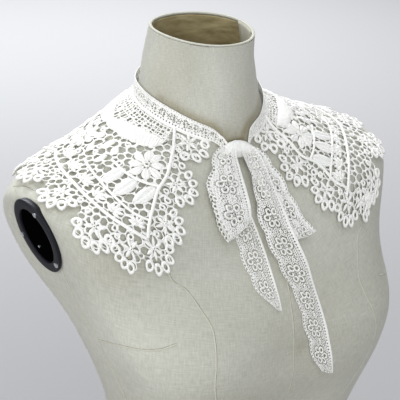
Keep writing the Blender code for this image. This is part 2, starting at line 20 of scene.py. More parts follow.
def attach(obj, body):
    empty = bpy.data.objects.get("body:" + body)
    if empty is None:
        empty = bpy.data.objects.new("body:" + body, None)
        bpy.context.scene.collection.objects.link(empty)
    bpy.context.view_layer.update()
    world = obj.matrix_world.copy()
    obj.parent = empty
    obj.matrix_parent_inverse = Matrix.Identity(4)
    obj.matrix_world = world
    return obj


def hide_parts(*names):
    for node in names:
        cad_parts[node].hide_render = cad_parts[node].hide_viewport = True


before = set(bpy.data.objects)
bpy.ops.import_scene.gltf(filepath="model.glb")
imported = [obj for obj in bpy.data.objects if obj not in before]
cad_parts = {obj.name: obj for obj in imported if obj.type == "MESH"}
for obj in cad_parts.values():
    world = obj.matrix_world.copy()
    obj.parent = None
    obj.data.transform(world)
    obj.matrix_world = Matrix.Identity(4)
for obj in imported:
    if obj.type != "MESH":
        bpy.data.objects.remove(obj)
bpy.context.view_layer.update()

LOG = logging.getLogger("lace_collar")
MM = 0.001
# how far the base lies below the side neck point, and how far round the neck the collar has slipped
BASE_DROP = 580.0
WORN_TURN = -6.0
# the radius that the neck seam has in the plane picture of the cape
FLAT_RADIUS = 60.0

Face = tuple[int, ...]
Shape = tuple[np.ndarray, list[Face]]
Colour = tuple[float, float, float]
Material = bpy.types.Material
Socket = bpy.types.NodeSocket
Tree = bpy.types.NodeTree


class Quarter(Enum):
    """Which part of a cape half is being laid out."""

    FRONT = "front"
    BACK = "back"


class Side(Enum):
    """The wearer's two sides, with the sign that their angles have."""

    RIGHT = -1
    LEFT = 1

    @property
    def word(self) -> str:
        """The side's name in piece names."""
        return self.name.lower()


def cosine_series(angles: tuple[float, ...], values: np.ndarray) -> np.ndarray:
    """Fit a cosine series to each row of values.

    Args:
        angles: The angles that the columns of values belong to.
        values: One row for each station.

    Returns:
        The coefficients, one row for each station.
    """
    grid = np.cos(np.outer(np.radians(angles), np.arange(len(angles))))
    return np.linalg.solve(grid, np.array(values, float).T).T


def between(table: np.ndarray, t: np.ndarray) -> np.ndarray:
    """Read a table smoothly between its rows.

    Args:
        table: The rows.
        t: Fractional row numbers.

    Returns:
        The values at t, with the table's columns last.
    """
    last = len(table) - 1
    i = np.clip(np.floor(t).astype(int), 0, last - 1)
    f = (t - i)[..., None]
    a, b, c, d = (table[np.clip(i + k, 0, last)] for k in (-1, 0, 1, 2))
    return 0.5 * (2 * b + (c - a) * f + (2 * a - 5 * b + 4 * c - d) * f**2 + (3 * b - a - 3 * c + d) * f**3)


@dataclass
class FormSurface:
    """The dress form's outer surface, from its stations down the body."""

    stations: tuple = (
        # z_front, z_side, z_back, r_front, r_45, r_side, r_135, r_back
        (58, 65, 71, 45, 44.5, 46, 50, 49),
        (29, 38, 50, 47, 44.5, 51, 55, 52),
        (-28, -2, 15, 49, 53, 61, 62, 57),
        (-51, -17, 3, 64, 78, 92, 77, 71),
        (-78, -38, -19, 82, 108, 140, 100, 89),
        (-104, -54, -53, 99, 129, 190, 119, 104),
        (-136, -80, -89, 118, 140, 201, 139, 112),
        (-167, -121, -125, 129, 156, 183, 149, 114),
        (-199, -170, -167, 132, 174, 153, 143, 113),
        (-234, -219, -221, 129, 168, 130, 126, 107),
        (-300, -293, -297, 106, 140, 109, 98, 89),
        (-400, -400, -400, 94, 106, 108, 92, 70),
        (-490, -490, -490, 110, 132, 148, 130, 96),
        (-580, -580, -580, 114, 146, 168, 148, 112),
    )
    seam_station: float = 2.0
    last_station: float = 13.0
    plate_centre: tuple[float, float, float] = (183.7, -12.0, -87.0)
    plate_facing: tuple[float, float, float] = (0.96, -0.06, -0.27)
    plate_sink: float = 1.5
    plate_blend: float = 4.0
    flat_until: float = 9.5
    angle_step: float = 1.0
    down_step: float = 0.5
    first_down: float = -40.0
    last_down: float = 300.0

    def __post_init__(self) -> None:
        """Work out the series and the tables that place things on the surface."""
        rows = np.array(self.stations, float)
        self.heights = cosine_series((0, 90, 180), rows[:, 0:3])
        self.radii = cosine_series((0, 45, 90, 135, 180), rows[:, 3:8])
        self.angles = np.arange(-200.0, 200.1, self.angle_step)
        numbers = np.arange(0.0, 12.0, 0.02)
        wide, tall = np.meshgrid(self.angles, numbers)
        raised = self.point(wide, tall) + 3.0 * self.outward(wide, tall)
        steps = np.linalg.norm(np.diff(raised, axis=0), axis=-1)
        lengths = np.concatenate([np.zeros((1, steps.shape[1])), np.cumsum(steps, 0)])
        lengths -= lengths[np.argmin(abs(numbers - self.seam_station))]
        self.downs = np.arange(self.first_down, self.last_down, self.down_step)
        columns = [np.interp(self.downs, lengths[:, j], numbers) for j in range(len(self.angles))]
        at = np.stack(columns, axis=1)
        wide = np.broadcast_to(self.angles, at.shape)
        self.places = self.point(wide, at)
        self.facings = self.outward(wide, at)

    def facing(self, side: Side) -> np.ndarray:
        """The unit direction that a side's arm plate faces."""
        way = np.array(self.plate_facing) * (side.value, 1, 1)
        return way / np.linalg.norm(way)

    def point(self, angle: np.ndarray, t: np.ndarray) -> np.ndarray:
        """Points of the surface.

        Args:
            angle: Angles round the form.
            t: Fractional station numbers.

        Returns:
            The points, with x, y and z last.
        """
        turn = np.radians(np.asarray(angle, float))
        t = np.asarray(t, float)
        z = (between(self.heights, t) * np.cos(turn[..., None] * np.arange(3))).sum(-1)
        r = (between(self.radii, t) * np.cos(turn[..., None] * np.arange(5))).sum(-1)
        p = np.stack([r * np.sin(turn), -r * np.cos(turn), z], -1)
        flattened = np.clip(self.flat_until + 1 - t, 0, 1)
        for side in Side:
            facing = self.facing(side)
            over = (p - np.array(self.plate_centre) * (side.value, 1, 1)) @ facing + self.plate_sink
            soft = self.plate_blend * np.logaddexp(0, over / self.plate_blend)
            p = p - (flattened * soft)[..., None] * facing
        return p

    def outward(self, angle: np.ndarray, t: np.ndarray) -> np.ndarray:
        """Unit directions straight out of the surface at angles and station numbers.

        Args:
            angle: Angles round the form.
            t: Fractional station numbers.

        Returns:
            The directions, with x, y and z last.
        """
        angle, t = np.asarray(angle, float), np.asarray(t, float)
        across = self.point(angle + 0.05, t) - self.point(angle - 0.05, t)
        along = self.point(angle, t + 0.005) - self.point(angle, np.maximum(t - 0.005, 0))
        out = np.cross(along, across)
        return out / np.linalg.norm(out, axis=-1, keepdims=True)

    def read(self, table: np.ndarray, angle: np.ndarray, down: np.ndarray) -> np.ndarray:
        """Read one of the tables at angles and distances down, evenly between its points.

        Args:
            table: The table.
            angle: Angles round the form.
            down: Distances down from the neck seam.

        Returns:
            The values, with x, y and z last.
        """
        x = ((np.asarray(angle, float) + 180.0) % 360.0 - 180.0 - self.angles[0]) / self.angle_step
        y = (np.asarray(down, float) - self.first_down) / self.down_step
        x, y = np.broadcast_arrays(x, np.clip(y, 0, len(self.downs) - 1.001))
        i, j = y.astype(int), x.astype(int)
        f, g = (y - i)[..., None], (x - j)[..., None]
        low = table[i, j] * (1 - g) + table[i, j + 1] * g
        high = table[i + 1, j] * (1 - g) + table[i + 1, j + 1] * g
        return low * (1 - f) + high * f

    def place(self, angle: np.ndarray, down: np.ndarray, height: np.ndarray) -> np.ndarray:
        """Points above the surface.

        Args:
            angle: Angles round the form.
            down: Distances down from the neck seam.
            height: Heights above the surface.

        Returns:
            The points, with x, y and z last.
        """
        out = self.read(self.facings, angle, down)
        return self.read(self.places, angle, down) + out * np.asarray(height, float)[..., None]

    def spread(self, angle: float, down: float) -> float:
        """How many millimetres one degree is at an angle and a distance down."""
        ends = self.place(np.array([angle - 1, angle + 1]), np.array([down, down]), np.array([3.0, 3.0]))
        return float(np.linalg.norm(ends[1] - ends[0])) / 2


@dataclass
class Draft:
    """Points and faces that are gathered before they become one mesh object."""

    points: list[np.ndarray] = field(default_factory=list)
    faces: list[Face] = field(default_factory=list)
    count: int = 0

    def add(self, points: np.ndarray, faces: list[Face]) -> None:
        """Add a shape's points in millimetres and its faces.

        Args:
            points: The shape's points.
            faces: Its faces, by its own point numbers.
        """
        self.points.append(np.asarray(points, float).reshape(-1, 3))
        self.faces += [tuple(i + self.count for i in f) for f in faces]
        self.count += len(self.points[-1])

    def build(self, name: str, look: Material) -> bpy.types.Object:
        """Make the object, shaded smooth.

        Args:
            name: The piece's name.
            look: Its material.

        Returns:
            The new object, which rides on the root body.
        """
        mesh = bpy.data.meshes.new(name)
        points = (np.concatenate(self.points) + (0, 0, BASE_DROP)) * MM
        mesh.from_pydata(points.tolist(), [], self.faces)
        shape = bmesh.new()
        shape.from_mesh(mesh)
        bmesh.ops.recalc_face_normals(shape, faces=shape.faces)
        for face in shape.faces:
            face.smooth = True
        shape.to_mesh(mesh)
        shape.free()
        mesh.materials.append(look)
        made = bpy.data.objects.new(name, mesh)
        bpy.context.scene.collection.objects.link(made)
        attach(made, "root")
        LOG.info("%s: %d triangles", name, sum(len(f.vertices) - 2 for f in mesh.polygons))
        return made


def loft(rings: list[list[int]], closed: bool = True) -> list[Face]:
    """Quads between rings of point numbers.

    Args:
        rings: The rings, all of one length.
        closed: Whether each ring's last point joins its first.

    Returns:
        The faces.
    """
    faces = []
    for low, high in zip(rings, rings[1:]):
        n = len(low)
        for i in range(n if closed else n - 1):
            j = (i + 1) % n
            faces.append((low[i], low[j], high[j], high[i]))
    return faces


def rows_of(count: int, length: int, start: int = 0) -> list[list[int]]:
    """Point numbers of a grid's rows, counted on from start."""
    return [list(range(start + i * length, start + (i + 1) * length)) for i in range(count)]


def rim_of(rows: list[list[int]]) -> list[int]:
    """Point numbers once round the edge of a grid."""
    return rows[0] + [r[-1] for r in rows[1:]] + rows[-1][-2::-1] + [r[0] for r in rows[-2:0:-1]]


# Node groups that several finishes use
def new_group(name: str, inputs: list[tuple[str, float]], outputs: list[tuple[str, str]]) -> Tree:
    """Start a shader node group with a vector input and named number inputs.

    Args:
        name: The group's name.
        inputs: Names and starting values of the number inputs.
        outputs: Names and socket types of the outputs.

    Returns:
        The group, with only its input and output nodes in it.
    """
    group = bpy.data.node_groups.new(name, "ShaderNodeTree")
    group.interface.new_socket("Vector", in_out="INPUT", socket_type="NodeSocketVector")
    for word, value in inputs:
        made = group.interface.new_socket(word, in_out="INPUT", socket_type="NodeSocketFloat")
        made.default_value = value
    for word, kind in outputs:
        group.interface.new_socket(word, in_out="OUTPUT", socket_type=kind)
    group.nodes.new("NodeGroupInput")
    group.nodes.new("NodeGroupOutput")
    return group


def math_node(tree: Tree, way: str, a: object, b: object = 0.0) -> Socket:
    """Add a math node.

    Args:
        tree: The node tree.
        way: The operation.
        a: The first value, a number or a socket.
        b: The second value, a number or a socket.

    Returns:
        The node's output.
    """
    node = tree.nodes.new("ShaderNodeMath")
    node.operation = way
    for k, value in enumerate((a, b)):
        if isinstance(value, (int, float)):
            node.inputs[k].default_value = value
        else:
            tree.links.new(value, node.inputs[k])
    return node.outputs[0]


def noise(tree: Tree, vector: Socket, scale: float, detail: float = 2.0) -> bpy.types.Node:
    """Add a noise texture that reads a vector.

    Args:
        tree: The node tree.
        vector: What its vector input reads.
        scale: Its scale.
        detail: Its detail.

    Returns:
        The node.
    """
    node = tree.nodes.new("ShaderNodeTexNoise")
    node.inputs["Scale"].default_value = scale
    node.inputs["Detail"].default_value = detail
    tree.links.new(vector, node.inputs["Vector"])
    return node


def weave_group() -> Tree:
    """A plain weave: its height and a slubby tone, from a vector whose x and y run along the threads.

    Returns:
        The group.
    """
    group = new_group(
        "plain_weave",
        [("Threads", 1000.0), ("Slub", 0.4)],
        [("Height", "NodeSocketFloat"), ("Tone", "NodeSocketFloat")],
    )
    nodes, links = group.nodes, group.links
    source, target = nodes["Group Input"], nodes["Group Output"]
    scale = nodes.new("ShaderNodeVectorMath")
    scale.operation = "SCALE"
    links.new(source.outputs["Vector"], scale.inputs[0])
    links.new(source.outputs["Threads"], scale.inputs["Scale"])
    warp = noise(group, scale.outputs[0], 0.23)
    bend = nodes.new("ShaderNodeVectorMath")
    bend.operation = "MULTIPLY_ADD"
    bend.inputs[1].default_value = (0.9, 0.9, 0.0)
    links.new(warp.outputs["Color"], bend.inputs[0])
    links.new(scale.outputs[0], bend.inputs[2])
    split = nodes.new("ShaderNodeSeparateXYZ")
    links.new(bend.outputs[0], split.inputs[0])
    threads = []
    for axis in ("X", "Y"):
        wave = math_node(group, "SINE", math_node(group, "MULTIPLY", split.outputs[axis], 2 * math.pi))
        threads.append(math_node(group, "MULTIPLY_ADD", wave, 0.25))
    crossing = math_node(group, "MULTIPLY", threads[0], threads[1])
    ribs = math_node(group, "MAXIMUM", threads[0], threads[1])
    height = math_node(group, "ADD", ribs, math_node(group, "MULTIPLY", crossing, -0.8))
    tones = []
    for stretch in ((0.10, 0.9, 1.0), (0.9, 0.10, 1.0)):
        long_way = nodes.new("ShaderNodeVectorMath")
        long_way.operation = "MULTIPLY"
        long_way.inputs[1].default_value = stretch
        links.new(scale.outputs[0], long_way.inputs[0])
        tones.append(noise(group, long_way.outputs[0], 1.0, 3.0).outputs["Fac"])
    both = math_node(group, "MULTIPLY", math_node(group, "ADD", tones[0], tones[1]), 0.5)
    tone = math_node(group, "MULTIPLY", math_node(group, "SUBTRACT", both, 0.5), source.outputs["Slub"])
    links.new(math_node(group, "ADD", height, tone), target.inputs["Height"])
    links.new(tone, target.inputs["Tone"])
    return group


def twist_group() -> Tree:
    """Twisted cotton thread: a fine broken height from fibres and stitches.

    Returns:
        The group.
    """
    group = new_group(
        "cotton_thread",
        [("Scale", 1400.0)],
        [("Height", "NodeSocketFloat"), ("Shade", "NodeSocketFloat")],
    )
    nodes, links = group.nodes, group.links
    source, target = nodes["Group Input"], nodes["Group Output"]
    fibres = noise(group, source.outputs["Vector"], 5.0, 4.0)
    fibres.inputs["Roughness"].default_value = 0.65
    links.new(source.outputs["Scale"], fibres.inputs["Scale"])
    stitches = nodes.new("ShaderNodeTexVoronoi")
    stitches.feature = "F1"
    links.new(source.outputs["Vector"], stitches.inputs["Vector"])
    links.new(math_node(group, "MULTIPLY", source.outputs["Scale"], 0.9), stitches.inputs["Scale"])
    low = math_node(group, "MULTIPLY", stitches.outputs["Distance"], -0.5)
    links.new(math_node(group, "ADD", fibres.outputs["Fac"], low), target.inputs["Height"])
    links.new(fibres.outputs["Fac"], target.inputs["Shade"])
    return group


GROUPS = {"weave": weave_group(), "twist": twist_group()}


def new_material(name: str) -> tuple[Material, Tree, bpy.types.Node]:
    """Start a material and give back its tree and its shader too.

    Args:
        name: The material's name.

    Returns:
        The material, its tree and its shader.
    """
    made = bpy.data.materials.new(name)
    made.use_nodes = True
    tree = made.node_tree
    return made, tree, tree.nodes["Principled BSDF"]


def own_place(tree: Tree) -> Socket:
    """The place on the object, in metres."""
    return tree.nodes.new("ShaderNodeTexCoord").outputs["Object"]


def place_group(tree: Tree, word: str, vector: Socket, **values: float) -> bpy.types.Node:
    """Put a shared group in a material.

    Args:
        tree: The material's tree.
        word: The group's key.
        vector: What its vector input reads.
        **values: Its number inputs.

    Returns:
        The group's node.
    """
    node = tree.nodes.new("ShaderNodeGroup")
    node.node_tree = GROUPS[word]
    tree.links.new(vector, node.inputs["Vector"])
    for key, value in values.items():
        node.inputs[key].default_value = value
    return node


def tinted(tree: Tree, amount: Socket, low: Colour, high: Colour, edges: tuple[float, float]) -> Socket:
    """A colour between two, by a value between two edges.

    Args:
        tree: The node tree.
        amount: The value.
        low: The colour at the lower edge.
        high: The colour at the upper edge.
        edges: The lower and the upper edge.

    Returns:
        The colour.
    """
    ramp = tree.nodes.new("ShaderNodeValToRGB")
    ramp.color_ramp.elements[0].position, ramp.color_ramp.elements[1].position = edges
    ramp.color_ramp.elements[0].color = (*low, 1)
    ramp.color_ramp.elements[1].color = (*high, 1)
    tree.links.new(amount, ramp.inputs[0])
    return ramp.outputs[0]


def multiplied(tree: Tree, amount: Socket, colour: Socket, by: tuple) -> Socket:
    """A colour that is multiplied by another, as far as an amount says.

    Args:
        tree: The node tree.
        amount: How far it is multiplied, from 0 to 1.
        colour: The colour.
        by: The colour that it is multiplied by.

    Returns:
        The new colour.
    """
    node = tree.nodes.new("ShaderNodeMix")
    node.data_type, node.blend_type = "RGBA", "MULTIPLY"
    tree.links.new(amount, node.inputs[0])
    tree.links.new(colour, node.inputs[6])
    node.inputs[7].default_value = by
    return node.outputs[2]


def bump(tree: Tree, height: Socket, distance: float, strength: float) -> Socket:
    """A bump node on a height, with its distance in metres.

    Args:
        tree: The node tree.
        height: The height.
        distance: Its distance in metres.
        strength: Its strength.

    Returns:
        The normal.
    """
    node = tree.nodes.new("ShaderNodeBump")
    node.inputs["Distance"].default_value = distance
    node.inputs["Strength"].default_value = strength
    tree.links.new(height, node.inputs["Height"])
    return node.outputs[0]


@dataclass(frozen=True)
class LinenFinish:
    """The woven linen cover of the form, read along its own UV map, whose unit is a metre."""

    name: str = "linen_cover"
    dark: Colour = (0.362, 0.357, 0.292)
    light: Colour = (0.632, 0.632, 0.556)
    age: Colour = (0.79, 0.752, 0.68)
    # the brown of the marked places: partly old browning, partly painted shade and painted shadow
    stain_and_shade: Colour = (0.50, 0.41, 0.24)
    threads_per_metre: float = 1150.0
    slub: float = 0.68
    relief: float = 0.00018

    def build(self) -> Material:
        """Make the material.

        Returns:
            The material.
        """
        made, tree, shader = new_material(self.name)
        uv = tree.nodes.new("ShaderNodeUVMap")
        uv.uv_map = "cloth"
        weave = place_group(tree, "weave", uv.outputs[0], Threads=self.threads_per_metre, Slub=self.slub)
        patches = noise(tree, uv.outputs[0], 9.0, 3.0)
        slow = math_node(tree, "MULTIPLY", patches.outputs["Fac"], 0.35)
        fine = math_node(tree, "MULTIPLY", weave.outputs["Height"], 0.28)
        tone = math_node(tree, "ADD", math_node(tree, "ADD", slow, fine), weave.outputs["Tone"])
        aged = math_node(tree, "MULTIPLY", noise(tree, uv.outputs[0], 7.0).outputs["Fac"], 0.9)
        cloth = tinted(tree, tone, self.dark, self.light, (0.0, 0.5))
        # the cover's marked places are darkened towards brown, partly old browning and partly painted shade
        # and shadow
        marks = tree.nodes.new("ShaderNodeAttribute")
        marks.attribute_name = "stain_and_shade"
        for amount, shade in ((aged, self.age), (marks.outputs["Fac"], self.stain_and_shade)):
            cloth = multiplied(tree, amount, cloth, (*shade, 1.0))
        tree.links.new(cloth, shader.inputs["Base Color"])
        shader.inputs["Roughness"].default_value = 0.92
        shader.inputs["Sheen Weight"].default_value = 0.15
        tree.links.new(bump(tree, weave.outputs["Height"], self.relief, 0.5), shader.inputs["Normal"])
        return made


@dataclass(frozen=True)
class SeamFinish:
    """The paler cotton tape of the cover's seams."""

    name: str = "seam_tape"
    stitches: float = 900.0
    dark: Colour = (0.44, 0.425, 0.34)
    light: Colour = (0.60, 0.585, 0.49)
    edges: tuple[float, float] = (0.3, 0.7)
    roughness: float = 0.9

    def build(self) -> Material:
        """Make the material.

        Returns:
            The material.
        """
        made, tree, shader = new_material(self.name)
        thread = place_group(tree, "twist", own_place(tree), Scale=self.stitches)
        colour = tinted(tree, thread.outputs["Shade"], self.dark, self.light, self.edges)
        tree.links.new(colour, shader.inputs["Base Color"])
        shader.inputs["Roughness"].default_value = self.roughness
        return made


@dataclass(frozen=True)
class StitchShadeFinish(SeamFinish):
    """Thin dark brown strands along the seams, painted shade beside each raised seam and a dark line on the
    shoulder seams, broken where the thread dips.
    """

    name: str = "seam_stitch_shade"
    stitches: float = 260.0
    dark: Colour = (0.14, 0.12, 0.075)
    light: Colour = (0.42, 0.395, 0.30)
    edges: tuple[float, float] = (0.35, 0.65)
    roughness: float = 0.95


@dataclass(frozen=True)
class CottonFinish:
    """White cotton thread, for the lace and its ribbon."""

    name: str = "white_cotton"
    shade: Colour = (0.71, 0.69, 0.625)
    light: Colour = (0.915, 0.90, 0.84)
    stitches: float = 1500.0
    relief: float = 0.00022

    def build(self) -> Material:
        """Make the material.

        Returns:
            The material.
        """
        made, tree, shader = new_material(self.name)
        thread = place_group(tree, "twist", own_place(tree), Scale=self.stitches)
        colour = tinted(tree, thread.outputs["Shade"], self.shade, self.light, (0.3, 0.6))
        tree.links.new(colour, shader.inputs["Base Color"])
        shader.inputs["Roughness"].default_value = 0.75
        shader.inputs["Sheen Weight"].default_value = 0.2
        tree.links.new(bump(tree, thread.outputs["Height"], self.relief, 0.6), shader.inputs["Normal"])
        return made


@dataclass(frozen=True)
class MouldedFinish:
    """Moulded plastic with a fine grain."""

    name: str
    colour: Colour
    roughness: float
    shine: float

    def build(self) -> Material:
        """Make the material.

        Returns:
            The material.
        """
        made, tree, shader = new_material(self.name)
        grain = noise(tree, own_place(tree), 900.0, 3.0)
        light = tuple(c * 1.6 for c in self.colour)
        colour = tinted(tree, grain.outputs["Fac"], self.colour, light, (0.35, 0.7))
        tree.links.new(colour, shader.inputs["Base Color"])
        shader.inputs["Roughness"].default_value = self.roughness
        shader.inputs["Specular IOR Level"].default_value = self.shine
        tree.links.new(bump(tree, grain.outputs["Fac"], 0.00005, 0.4), shader.inputs["Normal"])
        return made


@dataclass(frozen=True)
class SteelFinish:
    """Dark plated steel of the small screws."""

    name: str = "plated_screw"

    def build(self) -> Material:
        """Make the material.

        Returns:
            The material.
        """
        made, tree, shader = new_material(self.name)
        scuffs = noise(tree, own_place(tree), 1200.0)
        colour = tinted(tree, scuffs.outputs["Fac"], (0.45, 0.45, 0.47), (0.62, 0.62, 0.64), (0.3, 0.7))
        tree.links.new(colour, shader.inputs["Base Color"])
        shader.inputs["Metallic"].default_value = 0.9
        shader.inputs["Roughness"].default_value = 0.25
        return made


@dataclass(frozen=True)
class BoardFinish:
    """The bare brown board inside the form's neck, with slanting rough marks."""

    name: str = "neck_board"
    dark: Colour = (0.19, 0.15, 0.065)
    light: Colour = (0.37, 0.31, 0.165)

    def build(self) -> Material:
        """Make the material.

        Returns:
            The material.
        """
        made, tree, shader = new_material(self.name)
        stretch = tree.nodes.new("ShaderNodeMapping")
        stretch.inputs["Rotation"].default_value = (0.5, 0.6, 0.0)
        stretch.inputs["Scale"].default_value = (1.0, 1.0, 3.5)
        tree.links.new(own_place(tree), stretch.inputs["Vector"])
        marks = noise(tree, stretch.outputs[0], 60.0, 6.0)
        colour = tinted(tree, marks.outputs["Fac"], self.dark, self.light, (0.3, 0.7))
        tree.links.new(colour, shader.inputs["Base Color"])
        shader.inputs["Roughness"].default_value = 0.9
        tree.links.new(bump(tree, marks.outputs["Fac"], 0.0006, 0.6), shader.inputs["Normal"])
        return made


# Lace motifs: flat shapes in millimetres, a along, b across, and a height
def eyelet_motif(
    length: float, width: float, hole: tuple[float, float], height: float, around: int = 14
) -> Shape:
    """A padded ring of thread round an eyelet, a little pointed at its tip.

    Args:
        length: Half its length.
        width: Half its width.
        hole: Half the hole's length and width.
        height: How high its crest stands.
        around: Points round the ring.

    Returns:
        Its points and faces.
    """
    profile = ((0.0, 0.0), (0.06, 0.55), (0.40, 1.0), (0.80, 0.78), (1.0, 0.15))
    turn = np.arange(around) * 2 * math.pi / around
    tip = 1 + 0.10 * np.maximum(np.cos(turn), 0) ** 4
    outer = np.stack([length * np.cos(turn) * tip, width * np.sin(turn) * (1 - 0.10 * np.cos(turn))], -1)
    inner = np.stack([hole[0] * np.cos(turn), hole[1] * np.sin(turn)], -1)
    rings = []
    for share, rise in profile:
        flat_ring = inner + (outer - inner) * share
        rings.append(np.hstack([flat_ring, np.full((around, 1), rise * height)]))
    numbers = rows_of(len(profile), around)
    return np.concatenate(rings), loft(numbers + [numbers[0]])


def pad_motif(
    length: float,
    width: float,
    height: float,
    rows: int = 7,
    columns: int = 5,
    vein: float = 0.0,
    hatch: float = 0.0,
    fullness: float = 0.85,
) -> Shape:
    """A padded satin-stitch petal or leaf that starts at the origin and runs along a.

    Args:
        length: Its length.
        width: Its greatest width.
        height: The height of its crown.
        rows: Points along it.
        columns: Points across it.
        vein: The depth of the groove down its middle.
        hatch: The height of its crosswise stitches.
        fullness: How far along its widest place is; a lower value is nearer its start.

    Returns:
        Its points and faces.
    """
    u = np.linspace(0, 1, rows)[:, None]
    v = np.linspace(-1, 1, columns)[None, :]
    half = np.maximum(width / 2 * np.sin(math.pi * u**fullness) ** 0.7, width * 0.07)
    crown = (1 - 0.85 * v**2) * (0.35 + 0.65 * np.sin(math.pi * u) ** 0.5)
    stitches = hatch * np.cos(math.pi * np.arange(rows))[:, None] * (1 - v**2)
    rise = height * crown - vein * np.exp(-((v / 0.25) ** 2)) + stitches
    a = length * u + 0 * v
    points = np.stack([a, half * v, np.maximum(rise, 0.1)], -1).reshape(-1, 3)
    numbers = rows_of(rows, columns)
    rim = rim_of(numbers)
    under = points[rim].copy()
    under[:, 2] = 0.0
    start = rows * columns
    low = list(range(start, start + len(rim)))
    return np.concatenate([points, under]), loft(numbers, closed=False) + loft([rim, low]) + [tuple(low)]


def strand(path: np.ndarray, out: np.ndarray, width: float, height: float, sides: int = 5) -> Shape:
    """A thread of oval section along a path.

    Args:
        path: Points of its underside's middle.
        out: Directions away from the form at those points.
        width: Its width.
        height: Its height.
        sides: Points round its section.

    Returns:
        Its points and faces.
    """
    along = np.gradient(path, axis=0)
    across = np.cross(out, along)
    across /= np.maximum(np.linalg.norm(across, axis=-1, keepdims=True), 1e-9)
    turn = np.linspace(0, 2 * math.pi, sides, endpoint=False) + math.pi / 2
    x, y = np.cos(turn) * width / 2, (np.sin(turn) + 1) * height / 2
    points = path[:, None] + across[:, None] * x[None, :, None] + out[:, None] * y[None, :, None]
    numbers = rows_of(len(path), sides)
    return points.reshape(-1, 3), loft(numbers) + [tuple(numbers[0]), tuple(numbers[-1])]


def turned(points: np.ndarray, degrees: float, a: float = 0.0, b: float = 0.0) -> np.ndarray:
    """Turn a flat shape about its origin and move it.

    Args:
        points: The shape's points.
        degrees: How far it turns.
        a: How far it moves along.
        b: How far it moves across.

    Returns:
        The moved points.
    """
    way = math.radians(degrees)
    x = points[:, 0] * math.cos(way) - points[:, 1] * math.sin(way) + a
    y = points[:, 0] * math.sin(way) + points[:, 1] * math.cos(way) + b
    return np.stack([x, y, points[:, 2]], -1)


@dataclass(frozen=True)
class Lobe:
    """A fan of eyelet petals round a small flower, on the scalloped edge."""

    angle: float
    down: float
    radius: float
    first: float
    last: float
    petals: int
    at_neck: bool = False

    def turns(self) -> np.ndarray:
        """Directions of its petals."""
        return np.linspace(self.first, self.last, self.petals)


